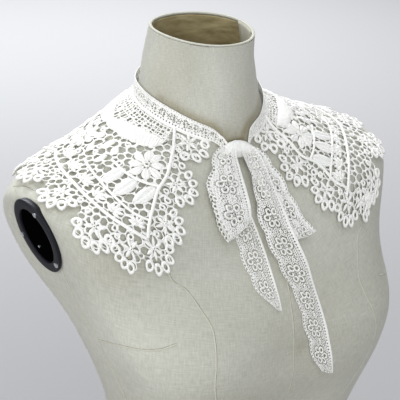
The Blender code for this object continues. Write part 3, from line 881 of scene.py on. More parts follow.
@dataclass
class CapeHalf:
    """One half of the lace cape, from the centre front over the shoulder to the centre back."""

    surface: FormSurface
    side: Side
    lift: float = 1.0
    lift_rate: float = 0.02
    front_angles: tuple = (26, 35, 40, 45, 55, 65, 75, 85, 99)
    back_angles: tuple = (187, 172, 166, 157, 144, 132, 122, 113, 99)
    lobes: tuple[Lobe, ...] = (
        Lobe(46, 7, 17.0, 188, 92, 4, at_neck=True),
        Lobe(46, 55, 17.0, 235, 112, 5),
        Lobe(46, 97, 14.5, 250, 112, 5),
        Lobe(48, 121, 16.5, 200, 78, 5),
        Lobe(53.5, 131, 15.5, 92, 25, 4),
        Lobe(62.5, 130, 15.5, 168, 16, 6),
        Lobe(76, 115, 17.0, 160, 40, 5),
        Lobe(91, 109, 15.5, 150, 45, 4),
    )
    petal_reach: float = 4.6
    petal_share: float = 0.97
    petal_start: float = 2.2
    cords: tuple = (
        ((59, 1), (56, 12), (53, 24), (51, 48), (52, 70), (51, 92), (50, 116)),
        ((99, 84), (90, 92), (77, 101), (67, 110), (59, 116), (50, 117)),
        ((84, 74), (74, 83), (66, 91), (56, 101), (51, 101)),
        ((74, 61), (66, 66), (58, 67), (52, 64)),
    )
    cord_width: float = 3.0
    cord_height: float = 2.3
    flower: tuple[float, float, float] = (61, 49, 17.0)
    blossom: tuple[float, float] = (99, 56)
    leaves: tuple = (
        # angle and down of the stalk, then of the tip, width
        (67.5, 62, 71, 86, 11.0),
        (61, 67, 64.5, 93, 11.8),
        (53.6, 66, 57.5, 92, 11.5),
    )
    sprays: tuple = (
        # angle, down, length of its petals, the way that the middle one points
        (76, 94, 11.0, 250),
        (68.5, 102, 11.0, 235),
        (61, 109, 10.5, 240),
        (53.5, 110, 8.5, 270),
        (84.5, 88, 10.5, 255),
        (92.5, 81, 10.0, 265),
    )
    left_cords: tuple = (
        # the left half's own angles and distances down, where they differ from the pattern
        (),
        ((99, 87), (92, 91), (85, 92.5), (77.2, 89.5), (68.8, 88.5), (60.8, 91), (54.8, 95.1), (50.2, 101)),
        ((88, 74), (80.5, 74.9), (73.8, 73), (64.5, 72.1), (56, 74.3), (49.5, 79)),
        (),
    )
    left_sprays: tuple = (
        (53.3, 88, 9.0, 285), (59, 84, 9.0, 270), (65.5, 81, 9.0, 260), (72.5, 80.5, 9.0, 255),
        (79.5, 82, 9.0, 255), (87, 83, 9.5, 260),
    )
    rosettes: tuple = (
        # angle, down, radius
        (45.5, 35, 3.4), (50, 30, 3.0), (49.5, 38, 2.9), (47.5, 74, 3.3), (48.5, 83, 3.0),
        (49, 66, 2.7), (48, 109, 2.9), (54, 122, 2.9), (58, 122, 3.0), (66, 120, 3.0),
        (70, 114, 3.2), (72.5, 119, 3.3), (83, 105, 3.1), (86, 98, 2.9), (79, 103, 2.8),
        (94, 97, 3.0), (98, 104, 3.2), (98, 92, 2.8), (57, 127, 2.6), (52, 18, 3.0),
        (55, 6, 2.8), (50, 20, 2.6),
    )
    pulled_up: tuple = (
        # the left half sits a little higher: angle, down, then how far that place moves, in degrees and down
        (46, 7, 0, 0), (60, 10, 0, -2), (80, 20, 0, -1), (99, 20, 0, 0), (46, 30, -1.5, -4),
        (46, 55, -3.5, -8.6), (46, 97, -1, -15), (50, 117, 1.8, -16), (51, 126, 1.5, -11),
        (62.5, 130, -0.5, -10),
        (61, 49, 1.5, -13), (62.5, 79, 1, -17), (68.7, 75, 1.5, -15), (80, 70, 1, -7), (81, 98, 0, -3),
        (76, 115, 1, -1), (91, 109, 0, 0), (99, 55, 0, 0), (99, 90, 0, 0),
    )
    pull_degree: float = 2.0
    pull_soft: float = 4.0
    border_pitch: float = 4.4
    panel_pitch: float = 5.9
    border_depth: float = 24.0
    bar_width: float = 1.35
    bar_height: float = 1.15
    cell_reach: float = 9.0
    # the ground stops this far below the neck seam, and at this angle before the centre back
    neck_limit: float = 0.4
    back_limit: float = 179.6
    seed: int = 7
    seed_tries: int = 26000
    seed_margin: float = 8.0

    def centre(self, quarter: Quarter, angle: float, down: float) -> tuple[float, float]:
        """Where a place on the pattern's front lies in a quarter of this half.

        Args:
            quarter: The quarter.
            angle: The place's angle on the front.
            down: Its distance down.

        Returns:
            The half's own angle, and the distance down.
        """
        if quarter is Quarter.BACK:
            return float(np.interp(angle, self.front_angles, self.back_angles)), float(down)
        if self.side is Side.RIGHT:
            return float(angle), float(down)
        table = np.array(self.pulled_up, float)
        away = ((table[:, 0] - angle) * self.pull_degree) ** 2 + (table[:, 1] - down) ** 2
        weight = 1 / (away + self.pull_soft**2) ** 1.5
        along, below = (table[:, 2:] * weight[:, None]).sum(0) / weight.sum()
        return float(angle + along), float(down + below)

    def centres(self, quarter: Quarter, path: np.ndarray) -> np.ndarray:
        """The half's own angles and distances down for a path on the pattern's front."""
        return np.array([self.centre(quarter, float(a), float(d)) for a, d in path])

    def worn(self, angle: np.ndarray) -> np.ndarray:
        """The form's angles for the half's own angles."""
        return self.side.value * np.asarray(angle, float) + WORN_TURN

    def base(self, down: np.ndarray) -> np.ndarray:
        """The height of the lace's underside at a distance down."""
        return self.lift + self.lift_rate * np.maximum(np.asarray(down, float), 0)

    def at(
        self, quarter: Quarter, angle: float, down: float, a: np.ndarray, b: np.ndarray, own: bool = False
    ) -> tuple:
        """Angles and distances down of points a along and b down from a centre.

        Args:
            quarter: The quarter that the centre is in.
            angle: The centre's angle, as on the front.
            down: The centre's distance down.
            a: Distances along, away from the front edge.
            b: Distances down.
            own: Whether the centre is given in the half's own angle and distance down.

        Returns:
            The half's own angles, and the distances down.
        """
        middle, down = (angle, down) if own else self.centre(quarter, angle, down)
        scale = self.surface.spread(float(self.worn(middle)), max(down, 0.0))
        way = -1 if quarter is Quarter.BACK else 1
        return middle + way * np.asarray(a, float) / scale, down + np.asarray(b, float)

    def lay(
        self, draft: Draft, quarter: Quarter, spot: tuple[float, float], shape: Shape, own: bool = False
    ) -> None:
        """Lay a flat shape on the form and add it to a draft.

        Args:
            draft: The draft.
            quarter: The quarter that it lies in.
            spot: The angle and distance down of its origin.
            shape: The shape's points and faces.
            own: Whether the spot is given in the half's own angle and distance down.
        """
        points, faces = shape
        angle, down = self.at(quarter, *spot, points[:, 0], points[:, 1], own)
        height = self.base(down) + points[:, 2]
        draft.add(self.surface.place(self.worn(angle), down, height), faces)

    def ray(
        self,
        draft: Draft,
        quarter: Quarter,
        spot: tuple[float, float],
        shape: Shape,
        turn: float,
        start: float = 0.0,
        own: bool = False,
    ) -> None:
        """Lay a flat shape so that it points away from a spot.

        Args:
            draft: The draft.
            quarter: The quarter that it lies in.
            spot: The angle and distance down of the spot.
            shape: The shape's points and faces.
            turn: The direction that it points in, in degrees.
            start: How far from the spot it starts.
            own: Whether the spot is given in the half's own angle and distance down.
        """
        way = math.radians(turn)
        points = turned(shape[0], turn, start * math.cos(way), start * math.sin(way))
        self.lay(draft, quarter, spot, (points, shape[1]), own)

    def thread(
        self,
        draft: Draft,
        angle: np.ndarray,
        down: np.ndarray,
        width: float,
        height: float,
        rise: float = 0.2,
        sides: int = 5,
    ) -> None:
        """Add a thread through the half's own angles and distances down.

        Args:
            draft: The draft.
            angle: The half's own angles.
            down: Distances down.
            width: The thread's width.
            height: Its height.
            rise: How far its underside is above the lace's underside.
            sides: Points round its section.
        """
        base = self.base(down) + rise
        path = self.surface.place(self.worn(angle), down, base)
        out = self.surface.read(self.surface.facings, self.worn(angle), down)
        draft.add(*strand(path, out, width, height, sides))

    def outline(self) -> np.ndarray:
        """The half's edge as angles and distances down, petal by petal.

        Returns:
            One row for each point of the edge.
        """
        path = []
        for quarter in Quarter:
            part = []
            for lobe in self.lobes:
                if lobe.at_neck and quarter is Quarter.BACK:
                    continue
                for turn in np.radians(lobe.turns()):
                    for swing in np.radians((60, 0, -60)):
                        a = lobe.radius * math.cos(turn) + self.petal_reach * math.cos(turn + swing)
                        b = lobe.radius * math.sin(turn) + self.petal_reach * math.sin(turn + swing)
                        part.append([float(x) for x in self.at(quarter, lobe.angle, lobe.down, a, b)])
            path += part if quarter is Quarter.FRONT else part[::-1]
        path += [(170.5, 30), (176, 27), (self.back_limit, 25), (self.back_limit, self.neck_limit)]
        path += [(x, self.neck_limit) for x in np.arange(173, 31, -7.0)]
        return np.array(path + [(27.5, self.neck_limit), (26, 2.8)], float)

    @staticmethod
    def flat(angle: np.ndarray, down: np.ndarray) -> np.ndarray:
        """A plane picture of the cape in which its shapes keep nearly their own form."""
        way = np.radians(angle)
        return np.stack([(FLAT_RADIUS + down) * np.sin(way), -(FLAT_RADIUS + down) * np.cos(way)], -1)

    @staticmethod
    def wound(points: np.ndarray, loop: np.ndarray) -> np.ndarray:
        """Whether a loop winds round each point.

        Args:
            points: The points.
            loop: The loop's corners.

        Returns:
            Whether each point is wound round.
        """
        a, b = loop, np.roll(loop, -1, axis=0)
        x, y = points[:, :1], points[:, 1:]
        crosses = (a[:, 1] > y) != (b[:, 1] > y)
        with np.errstate(divide="ignore", invalid="ignore"):
            at = (b[:, 0] - a[:, 0]) * (y - a[:, 1]) / (b[:, 1] - a[:, 1]) + a[:, 0]
        ways = np.where(b[:, 1] > a[:, 1], 1, -1)
        return (ways * (crosses & (x < at))).sum(1) != 0

    def cell_seeds(self, loop: np.ndarray) -> np.ndarray:
        """Spots for the middles of the net's cells, closer together near the scalloped edge.

        Args:
            loop: The half's edge in the plane picture.

        Returns:
            The spots, in the plane picture.
        """
        rng = np.random.default_rng(self.seed)
        low, high = loop.min(0) - self.seed_margin, loop.max(0) + self.seed_margin
        tries = rng.uniform(low, high, (self.seed_tries, 2))
        # the first five sixths of the loop lie on the scalloped edge
        edge = loop[: -len(loop) // 6]
        kept = np.zeros((0, 2))
        for spot in tries:
            inland = min(1.0, np.linalg.norm(edge - spot, axis=1).min() / self.border_depth)
            least = self.border_pitch + (self.panel_pitch - self.border_pitch) * inland
            if len(kept) and np.linalg.norm(kept - spot, axis=1).min() < least:
                continue
            kept = np.vstack([kept, spot])
        return kept

    def web(self) -> Draft:
        """The bars that join the motifs, as an uneven net of rounded cells.

        Returns:
            The net.
        """
        draft = Draft()
        edge = self.outline()
        loop = self.flat(edge[:, 0], edge[:, 1])
        seeds = self.cell_seeds(loop)
        out, _, faces, _, _, _ = delaunay_2d_cdt([tuple(p) for p in seeds], [], [], 0, 1e-6)
        spots = np.array([tuple(p) for p in out])
        faces = [tuple(f) for f in faces]
        corners = np.array([spots[list(f)].mean(0) for f in faces])
        inner = self.wound(corners, loop)
        around: list[list[int]] = [[] for _ in spots]
        for number, face in enumerate(faces):
            for i in face:
                around[i].append(number)
        for centre, cell in zip(spots, around):
            if len(cell) < 4 or not inner[cell].all():
                continue
            rim = corners[cell] - centre
            rim = rim[np.argsort(np.arctan2(rim[:, 1], rim[:, 0]))]
            if np.linalg.norm(rim, axis=1).max() > self.cell_reach or not self.wound(centre[None], loop)[0]:
                continue
            rim = np.stack([rim, (rim + np.roll(rim, -1, axis=0)) / 2], 1).reshape(-1, 2)
            reach = np.linalg.norm(rim, axis=1)
            hole = np.maximum(reach - self.bar_width * 0.55, 0.3)
            hole = hole * 0.45 + hole[1::2].mean() * 0.55
            inside = rim / reach[:, None] * hole[:, None]
            rings = [(rim, 0.0), (rim, self.bar_height), (inside, 0.5), (inside, 0.0)]
            points = np.concatenate([np.hstack([r + centre, np.full((len(rim), 1), h)]) for r, h in rings])
            angle = np.degrees(np.arctan2(points[:, 0], -points[:, 1])) % 360.0
            down = np.hypot(points[:, 0], points[:, 1]) - FLAT_RADIUS
            if angle.max() > self.back_limit or down.min() < self.neck_limit:
                continue
            numbers = rows_of(4, len(rim))
            place = self.surface.place(self.worn(angle), down, self.base(down) + points[:, 2])
            draft.add(place, loft(numbers + [numbers[0]]))
        return draft

    def border(self, draft: Draft, quarter: Quarter) -> None:
        """The lobes of eyelet petals with their small flowers and bars.

        Args:
            draft: The draft.
            quarter: The quarter.
        """
        petal = eyelet_motif(5.4, 4.3, (2.15, 1.8), 1.9)
        small = pad_motif(8.4, 3.3, 1.5, vein=0.2)
        knot = eyelet_motif(1.9, 1.9, (0.5, 0.5), 1.9, around=8)
        for lobe in self.lobes:
            if lobe.at_neck and quarter is Quarter.BACK:
                continue
            spot = (lobe.angle, lobe.down)
            for turn in lobe.turns():
                self.ray(draft, quarter, spot, petal, turn, lobe.radius * self.petal_share)
            for k in range(6):
                self.ray(draft, quarter, spot, small, lobe.first + 30 + 60 * k, 1.3)
            self.lay(draft, quarter, spot, knot)
        for angle, down, radius in self.rosettes:
            ring = eyelet_motif(radius + 0.5, radius, (radius * 0.45, radius * 0.42), 1.6, around=12)
            self.ray(draft, quarter, (angle, down), ring, angle * 7)

    def panel(self, draft: Draft, quarter: Quarter) -> None:
        """The large flower, the leaves and the leafy sprays inside the cords.

        Args:
            draft: The draft.
            quarter: The quarter.
        """
        angle, down, radius = self.flower
        for k in range(8):
            length = radius * (1.0 if k % 2 else 0.92) - self.petal_start
            petal = pad_motif(length, 7.6, 2.6, rows=17, columns=9, vein=1.4, hatch=0.3, fullness=1.45)
            self.ray(draft, quarter, (angle, down), petal, 22.5 + 45 * k, self.petal_start)
        self.lay(draft, quarter, (angle, down), eyelet_motif(3.0, 3.0, (1.2, 1.2), 2.9, around=12))
        for angle, down, tip_angle, tip_down, width in self.leaves:
            foot, tip = self.centre(quarter, angle, down), self.centre(quarter, tip_angle, tip_down)
            a = (tip[0] - foot[0]) * self.surface.spread(float(self.worn(foot[0])), foot[1])
            a = -a if quarter is Quarter.BACK else a
            b = tip[1] - foot[1]
            leaf = pad_motif(math.hypot(a, b), width, 2.7, rows=31, columns=9, vein=1.6, hatch=0.42)
            self.ray(draft, quarter, (angle, down), leaf, math.degrees(math.atan2(b, a)))
        own = self.side is Side.LEFT and quarter is Quarter.FRONT
        for angle, down, length, first in self.left_sprays if own else self.sprays:
            for k in range(6):
                off = k - 2.5
                blade = pad_motif(length * (1 - 0.03 * off**2), 3.3, 2.3, rows=11, vein=0.5, hatch=0.2)
                self.ray(draft, quarter, (angle, down), blade, first + off * 33, 1.0, own)
            self.lay(draft, quarter, (angle, down), eyelet_motif(1.9, 1.9, (0.5, 0.5), 2.4, around=8), own)

    def fan(self, draft: Draft, quarter: Quarter) -> None:
        """The grooved satin fan under the neck, and the square net above it.

        Args:
            draft: The draft.
            quarter: The quarter.
        """
        upper = np.array([(59.5, 15), (66, 14.5), (78, 15.5), (88, 19), (99, 25)], float)
        lower = np.array([(60.5, 18), (64, 29), (72, 32), (81, 34.5), (99, 33)], float)
        rows, columns = 121, 7
        grid = []
        for k in range(rows):
            share = k / (rows - 1)
            top = between(upper, np.array(share * (len(upper) - 1)))
            low = between(lower, np.array(share * (len(lower) - 1)))
            for j in range(columns):
                f = j / (columns - 1)
                angle, down = top + (low - top) * f
                groove = 0.38 * math.cos(math.pi * k / 3.0) * (0.4 + 0.6 * f)
                rise = 0.4 + 1.6 * (1 - (2 * f - 1) ** 2 * 0.8) + groove
                scallop = 1.7 * abs(math.sin(share * math.pi * 6)) * f**2
                grid.append((*self.centre(quarter, float(angle), float(down)), rise, scallop))
        grid = np.array(grid)
        grid[:, 1] += grid[:, 3]
        grid = grid[:, :3]
        numbers = rows_of(rows, columns)
        rim = rim_of(numbers)
        under = grid[rim].copy()
        under[:, 2] = 0.0
        shape = np.concatenate([grid, under])
        low = list(range(len(grid), len(grid) + len(rim)))
        half = len(low) // 2
        floor = [(low[i], low[i + 1], low[-i - 2], low[-i - 1]) for i in range(half - 1)]
        place = self.surface.place(self.worn(shape[:, 0]), shape[:, 1], self.base(shape[:, 1]) + shape[:, 2])
        draft.add(place, loft(numbers, closed=False) + loft([rim, low]) + floor)

    def net(self, draft: Draft, quarter: Quarter) -> None:
        """The square net between the neck edge and the fan.

        Args:
            draft: The draft.
            quarter: The quarter.
        """
        for down in (3.0, 6.6, 10.2, 13.6):
            angles = np.linspace(60, 99, 14)
            path = self.centres(quarter, np.stack([angles, down + 0.3 * np.cos(np.arange(14) * 2.1)], -1))
            self.thread(draft, path[:, 0], path[:, 1], 1.3, 1.2)
        for angle in np.arange(61.2, 99.1, 3.05):
            last = float(np.interp(angle, (60, 78, 88, 99), (15, 16, 20, 26)))
            path = self.centres(quarter, np.stack([np.full(5, angle), np.linspace(0.8, last, 5)], -1))
            self.thread(draft, path[:, 0], path[:, 1], 1.4, 1.3)

    def shoulder(self, draft: Draft) -> None:
        """The blossom on the shoulder line, which the front and back share.

        Args:
            draft: The draft.
        """
        petal = pad_motif(13.0, 6.8, 2.4, rows=15, columns=9, vein=1.2, hatch=0.3, fullness=1.4)
        for k in range(8):
            self.ray(draft, Quarter.FRONT, self.blossom, petal, 45 * k, self.petal_start)
        self.lay(draft, Quarter.FRONT, self.blossom, eyelet_motif(2.8, 2.8, (1.0, 1.0), 2.6, around=12))

    def side_fill(self, draft: Draft, quarter: Quarter) -> None:
        """Leaves and small eyelets between the large flower and the shoulder.

        Args:
            draft: The draft.
            quarter: The quarter.
        """
        # angle, down, length, the way that it points
        leaves = ((82, 40, 15, 75), (78.5, 45, 13, 105), (87, 66, 14, -60), (80, 71, 13, -110))
        for angle, down, length, turn in (*leaves, (90, 42, 11, 60)):
            leaf = pad_motif(length, 6.2, 2.0, rows=13, columns=7, vein=0.5, hatch=0.12)
            self.ray(draft, quarter, (angle, down), leaf, turn)
        ring = eyelet_motif(3.3, 2.9, (1.3, 1.2), 1.7, around=12)
        spots = ((75, 39), (76.5, 52), (85, 55), (83.5, 62), (90, 71), (96, 73), (71, 60), (94, 40))
        for spot in spots:
            self.ray(draft, quarter, spot, ring, spot[1] * 5)

    def cords_of(self, draft: Draft, quarter: Quarter) -> None:
        """The raised cords that divide the panel from the border.

        Args:
            draft: The draft.
            quarter: The quarter.
        """
        for number, rows in enumerate(self.cords):
            own = self.side is Side.LEFT and quarter is Quarter.FRONT and bool(self.left_cords[number])
            rows = np.array(self.left_cords[number] if own else rows, float)
            steps = np.linspace(0, len(rows) - 1, 14 * (len(rows) - 1) + 1)
            path = between(rows, steps) if own else self.centres(quarter, between(rows, steps))
            slim = 1.0 if number < 2 else 0.8
            size = (self.cord_width * slim, self.cord_height * slim)
            self.thread(draft, path[:, 0], path[:, 1], *size, rise=0.1, sides=9)

    def neck_edge(self, draft: Draft) -> None:
        """The closely worked edge that is sewn under the neck band."""
        angles = np.linspace(27, self.back_limit, 90)
        self.thread(draft, angles, np.full(len(angles), 1.1), 2.0, 1.4)

    def build(self, look: Material) -> None:
        """Make the half's ground and its raised work.

        Args:
            look: The cotton material.
        """
        ground = self.web()
        self.neck_edge(ground)
        for quarter in Quarter:
            self.border(ground, quarter)
        raised = Draft()
        for quarter in Quarter:
            self.panel(raised, quarter)
            self.fan(raised, quarter)
            self.net(raised, quarter)
            self.side_fill(raised, quarter)
        self.shoulder(raised)
        cords = Draft()
        for quarter in Quarter:
            self.cords_of(cords, quarter)
        name = f"lace_{self.side.word}"
        sheet = ground.build(f"{name}_ground", look)
        work = raised.build(f"{name}_motifs", look)
        lines = cords.build(f"{name}_cords", look)
        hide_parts(f"collar_{self.side.word}")


@dataclass
class GalloonPattern:
    """Where a narrow net lace has cloth, on a grid of small cells."""

    width: float = 33.0
    cell: float = 0.5
    scallop_pitch: float = 27.0
    scallop_depth: float = 2.8
    edge_band: float = 3.3
    straight_band: float = 2.6
    eyelet_pitch: float = 3.3
    picot: float = 0.9
    flowers: tuple = ((0.49, 0.0, 1.8), (0.30, 0.5, 0.78), (0.68, 0.5, 0.78))
    net_pitch: int = 4
    bar: int = 1
    grain: float = 0.0

    def edge(self, v: np.ndarray) -> np.ndarray:
        """How far the scalloped edge is cut in at a place along.

        Args:
            v: Distances along.

        Returns:
            The depths.
        """
        picots = 1 - np.abs(np.sin(math.pi * v / self.eyelet_pitch))
        scallops = 1 - np.abs(np.sin(math.pi * v / self.scallop_pitch))
        return self.scallop_depth * scallops + self.picot * picots

    def solid(self, u: np.ndarray, v: np.ndarray) -> tuple[np.ndarray, np.ndarray]:
        """Which cells have cloth, and how much they are raised.

        Args:
            u: Distances from the scalloped edge.
            v: Distances along.

        Returns:
            Whether each cell has cloth, and its relief.
        """
        i, j = np.floor(u / self.cell).astype(int), np.floor(v / self.cell).astype(int)
        cloth = (i % self.net_pitch < self.bar) | ((j + i // self.net_pitch * 2) % self.net_pitch < self.bar)
        relief = np.zeros(u.shape)
        for across, phase, size in self.flowers:
            x = u - self.width * across
            y = ((v / self.scallop_pitch - phase) % 1.0 - 0.5) * self.scallop_pitch
            middle = np.hypot(x, y)
            cloth = np.where(middle < 1.6 * size, middle > 0.7 * size, cloth)
            for k in range(6):
                way = math.radians(60 * k)
                along = (x * math.cos(way) + y * math.sin(way)) / size - 3.35
                ring = np.hypot(along * 0.86, (y * math.cos(way) - x * math.sin(way)) / size)
                cloth = np.where(ring < 2.1, (ring < 1.75) & (ring > 0.92), cloth)
                relief = np.where((ring < 1.75) | (middle < 1.3 * size), 0.4, relief)
        near_edge, far = u - self.edge(v), self.width - u
        row = np.hypot(v % self.eyelet_pitch - self.eyelet_pitch / 2, near_edge - self.edge_band * 0.5)
        cloth = np.where(near_edge < self.edge_band, row > 0.33 * self.edge_band, cloth)
        dots = (far < self.straight_band + 2.4) & (far > self.straight_band - 0.4)
        dot = np.hypot(v % 3.0 - 1.5, far - self.straight_band - 0.9)
        cloth = np.where(dots, dot > 0.8, cloth)
        cloth = np.where(far < self.straight_band, True, cloth)
        relief = np.where((near_edge < self.edge_band) | (far < self.straight_band), 0.22, relief)
        if self.grain:
            tufts = np.random.default_rng(5).random(u.shape)
            for _ in range(2):
                beside = np.roll(tufts, 1, 1)
                tufts = (tufts + np.roll(tufts, 1, 0) + beside + np.roll(beside, 1, 0)) / 4
            relief = relief + self.grain * tufts
        return cloth & (near_edge > 0), relief


@dataclass
class LaceRibbon:
    """A length of galloon lace that hangs over the form."""

    surface: FormSurface
    pattern: GalloonPattern
    name: str
    node: str
    rows: tuple
    scalloped_left: bool
    flat_size: tuple[float, float]
    held: str = "hung"
    ripple: float = 0.5
    thickness: float = 0.26
    # the depth of the pleats at its start, negative where its end has them too
    pleats: float = 0.0
    lean: float = 0.0

    def mid_surface(self, across: np.ndarray, along: np.ndarray) -> np.ndarray:
        """Points of the ribbon's middle at shares across and fractional rows along.

        Args:
            across: Shares across, from the scalloped edge.
            along: Fractional row numbers.

        Returns:
            The points, with x, y and z last.
        """
        rows = np.array(self.rows, float)
        at = between(rows, along)
        share = across if self.scalloped_left else 1 - across
        angle = at[..., 0] + (at[..., 2] - at[..., 0]) * share
        down = at[..., 1] + (at[..., 3] - at[..., 1]) * share
        crest = np.sin(across * math.pi * 2.2 + along * 1.3)
        start, end = (np.exp(-((away / 1.1) ** 2)) for away in (along, len(rows) - 1 - along))
        gathered = start + end * (self.pleats < 0)
        wave = self.ripple * crest * np.clip(at[..., 4] - 0.9, 0.1, 2.0) * 0.5
        wave = wave + abs(self.pleats) * gathered * np.sin(across * math.pi * 9)
        return self.surface.place(angle, down, at[..., 4] + wave + self.lean * (1 - share))

    def lengths(self) -> np.ndarray:
        """Distance along the middle at fractional rows, as a table of rows and lengths.

        Returns:
            The table.
        """
        t = np.linspace(0, len(self.rows) - 1, 400)
        line = self.mid_surface(np.full(400, 0.5), t)
        run = np.concatenate([[0], np.cumsum(np.linalg.norm(np.diff(line, axis=0), axis=1))])
        return np.stack([t, run], 1)

    def build(self, look: Material) -> None:
        """Make the ribbon.

        Args:
            look: The cotton material.
        """
        pattern, cell = self.pattern, self.pattern.cell
        table = self.lengths()
        total = table[-1, 1]
        m, n = int(round(pattern.width / cell)), int(round(total / cell))
        u, v = np.meshgrid((np.arange(m) + 0.5) * cell, (np.arange(n) + 0.5) * cell, indexing="ij")
        cloth, relief = pattern.solid(u, v)
        number = np.arange((m + 1) * (n + 1)).reshape(m + 1, n + 1)
        quads = np.stack([number[:-1, :-1], number[1:, :-1], number[1:, 1:], number[:-1, 1:]], -1)[cloth]
        i, j = np.meshgrid(np.arange(m + 1.0), np.arange(n + 1.0), indexing="ij")
        spots = np.stack([i.ravel(), j.ravel()], -1)
        edges = np.sort(np.concatenate([quads[:, [k, (k + 1) % 4]] for k in range(4)]), axis=1)
        edges, uses = np.unique(edges, axis=0, return_counts=True)
        rim = edges[uses == 1]
        for _ in range(3):
            total_place, degree = np.zeros_like(spots), np.zeros(len(spots))
            for a, b in ((0, 1), (1, 0)):
                np.add.at(total_place, rim[:, a], spots[rim[:, b]])
                np.add.at(degree, rim[:, a], 1)
            free = degree == 2
            spots[free] = spots[free] * 0.5 + total_place[free] / degree[free, None] * 0.5
        height = np.zeros((m + 1, n + 1))
        weight = np.zeros((m + 1, n + 1))
        for x, y in ((0, 0), (1, 0), (0, 1), (1, 1)):
            height[x : x + m, y : y + n] += relief
            weight[x : x + m, y : y + n] += 1
        height = (height / weight).ravel()
        used, inverse = np.unique(quads, return_inverse=True)
        quads = inverse.reshape(quads.shape)
        across = spots[used, 0] / m
        along = np.interp(spots[used, 1] * cell * total / (n * cell), table[:, 1], table[:, 0])
        middle = self.mid_surface(across, along)
        step, last = 0.01, len(self.rows) - 1
        wide, tall = (
            self.mid_surface(np.clip(across + x, 0, 1), np.clip(along + y, 0, last))
            - self.mid_surface(np.clip(across - x, 0, 1), np.clip(along - y, 0, last))
            for x, y in ((step, 0.0), (0.0, step))
        )
        out = np.cross(tall, wide) * (1 if self.scalloped_left else -1)
        out /= np.maximum(np.linalg.norm(out, axis=1, keepdims=True), 1e-9)
        rise = height[used][:, None]
        top, low = middle + out * (self.thickness / 2 + rise), middle - out * (self.thickness / 2)
        edges = np.concatenate([quads[:, [k, (k + 1) % 4]] for k in range(4)])
        _, first, uses = np.unique(np.sort(edges, axis=1), axis=0, return_index=True, return_counts=True)
        rim = edges[first[uses == 1]]
        count = len(used)
        walls = np.stack([rim[:, 1], rim[:, 0], rim[:, 0] + count, rim[:, 1] + count], -1)
        faces = np.concatenate([quads, quads[:, ::-1] + count, walls])
        draft = Draft()
        draft.add(np.concatenate([top, low]), [tuple(f) for f in faces.tolist()])
        made = draft.build(self.name, look)
        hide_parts(self.node)


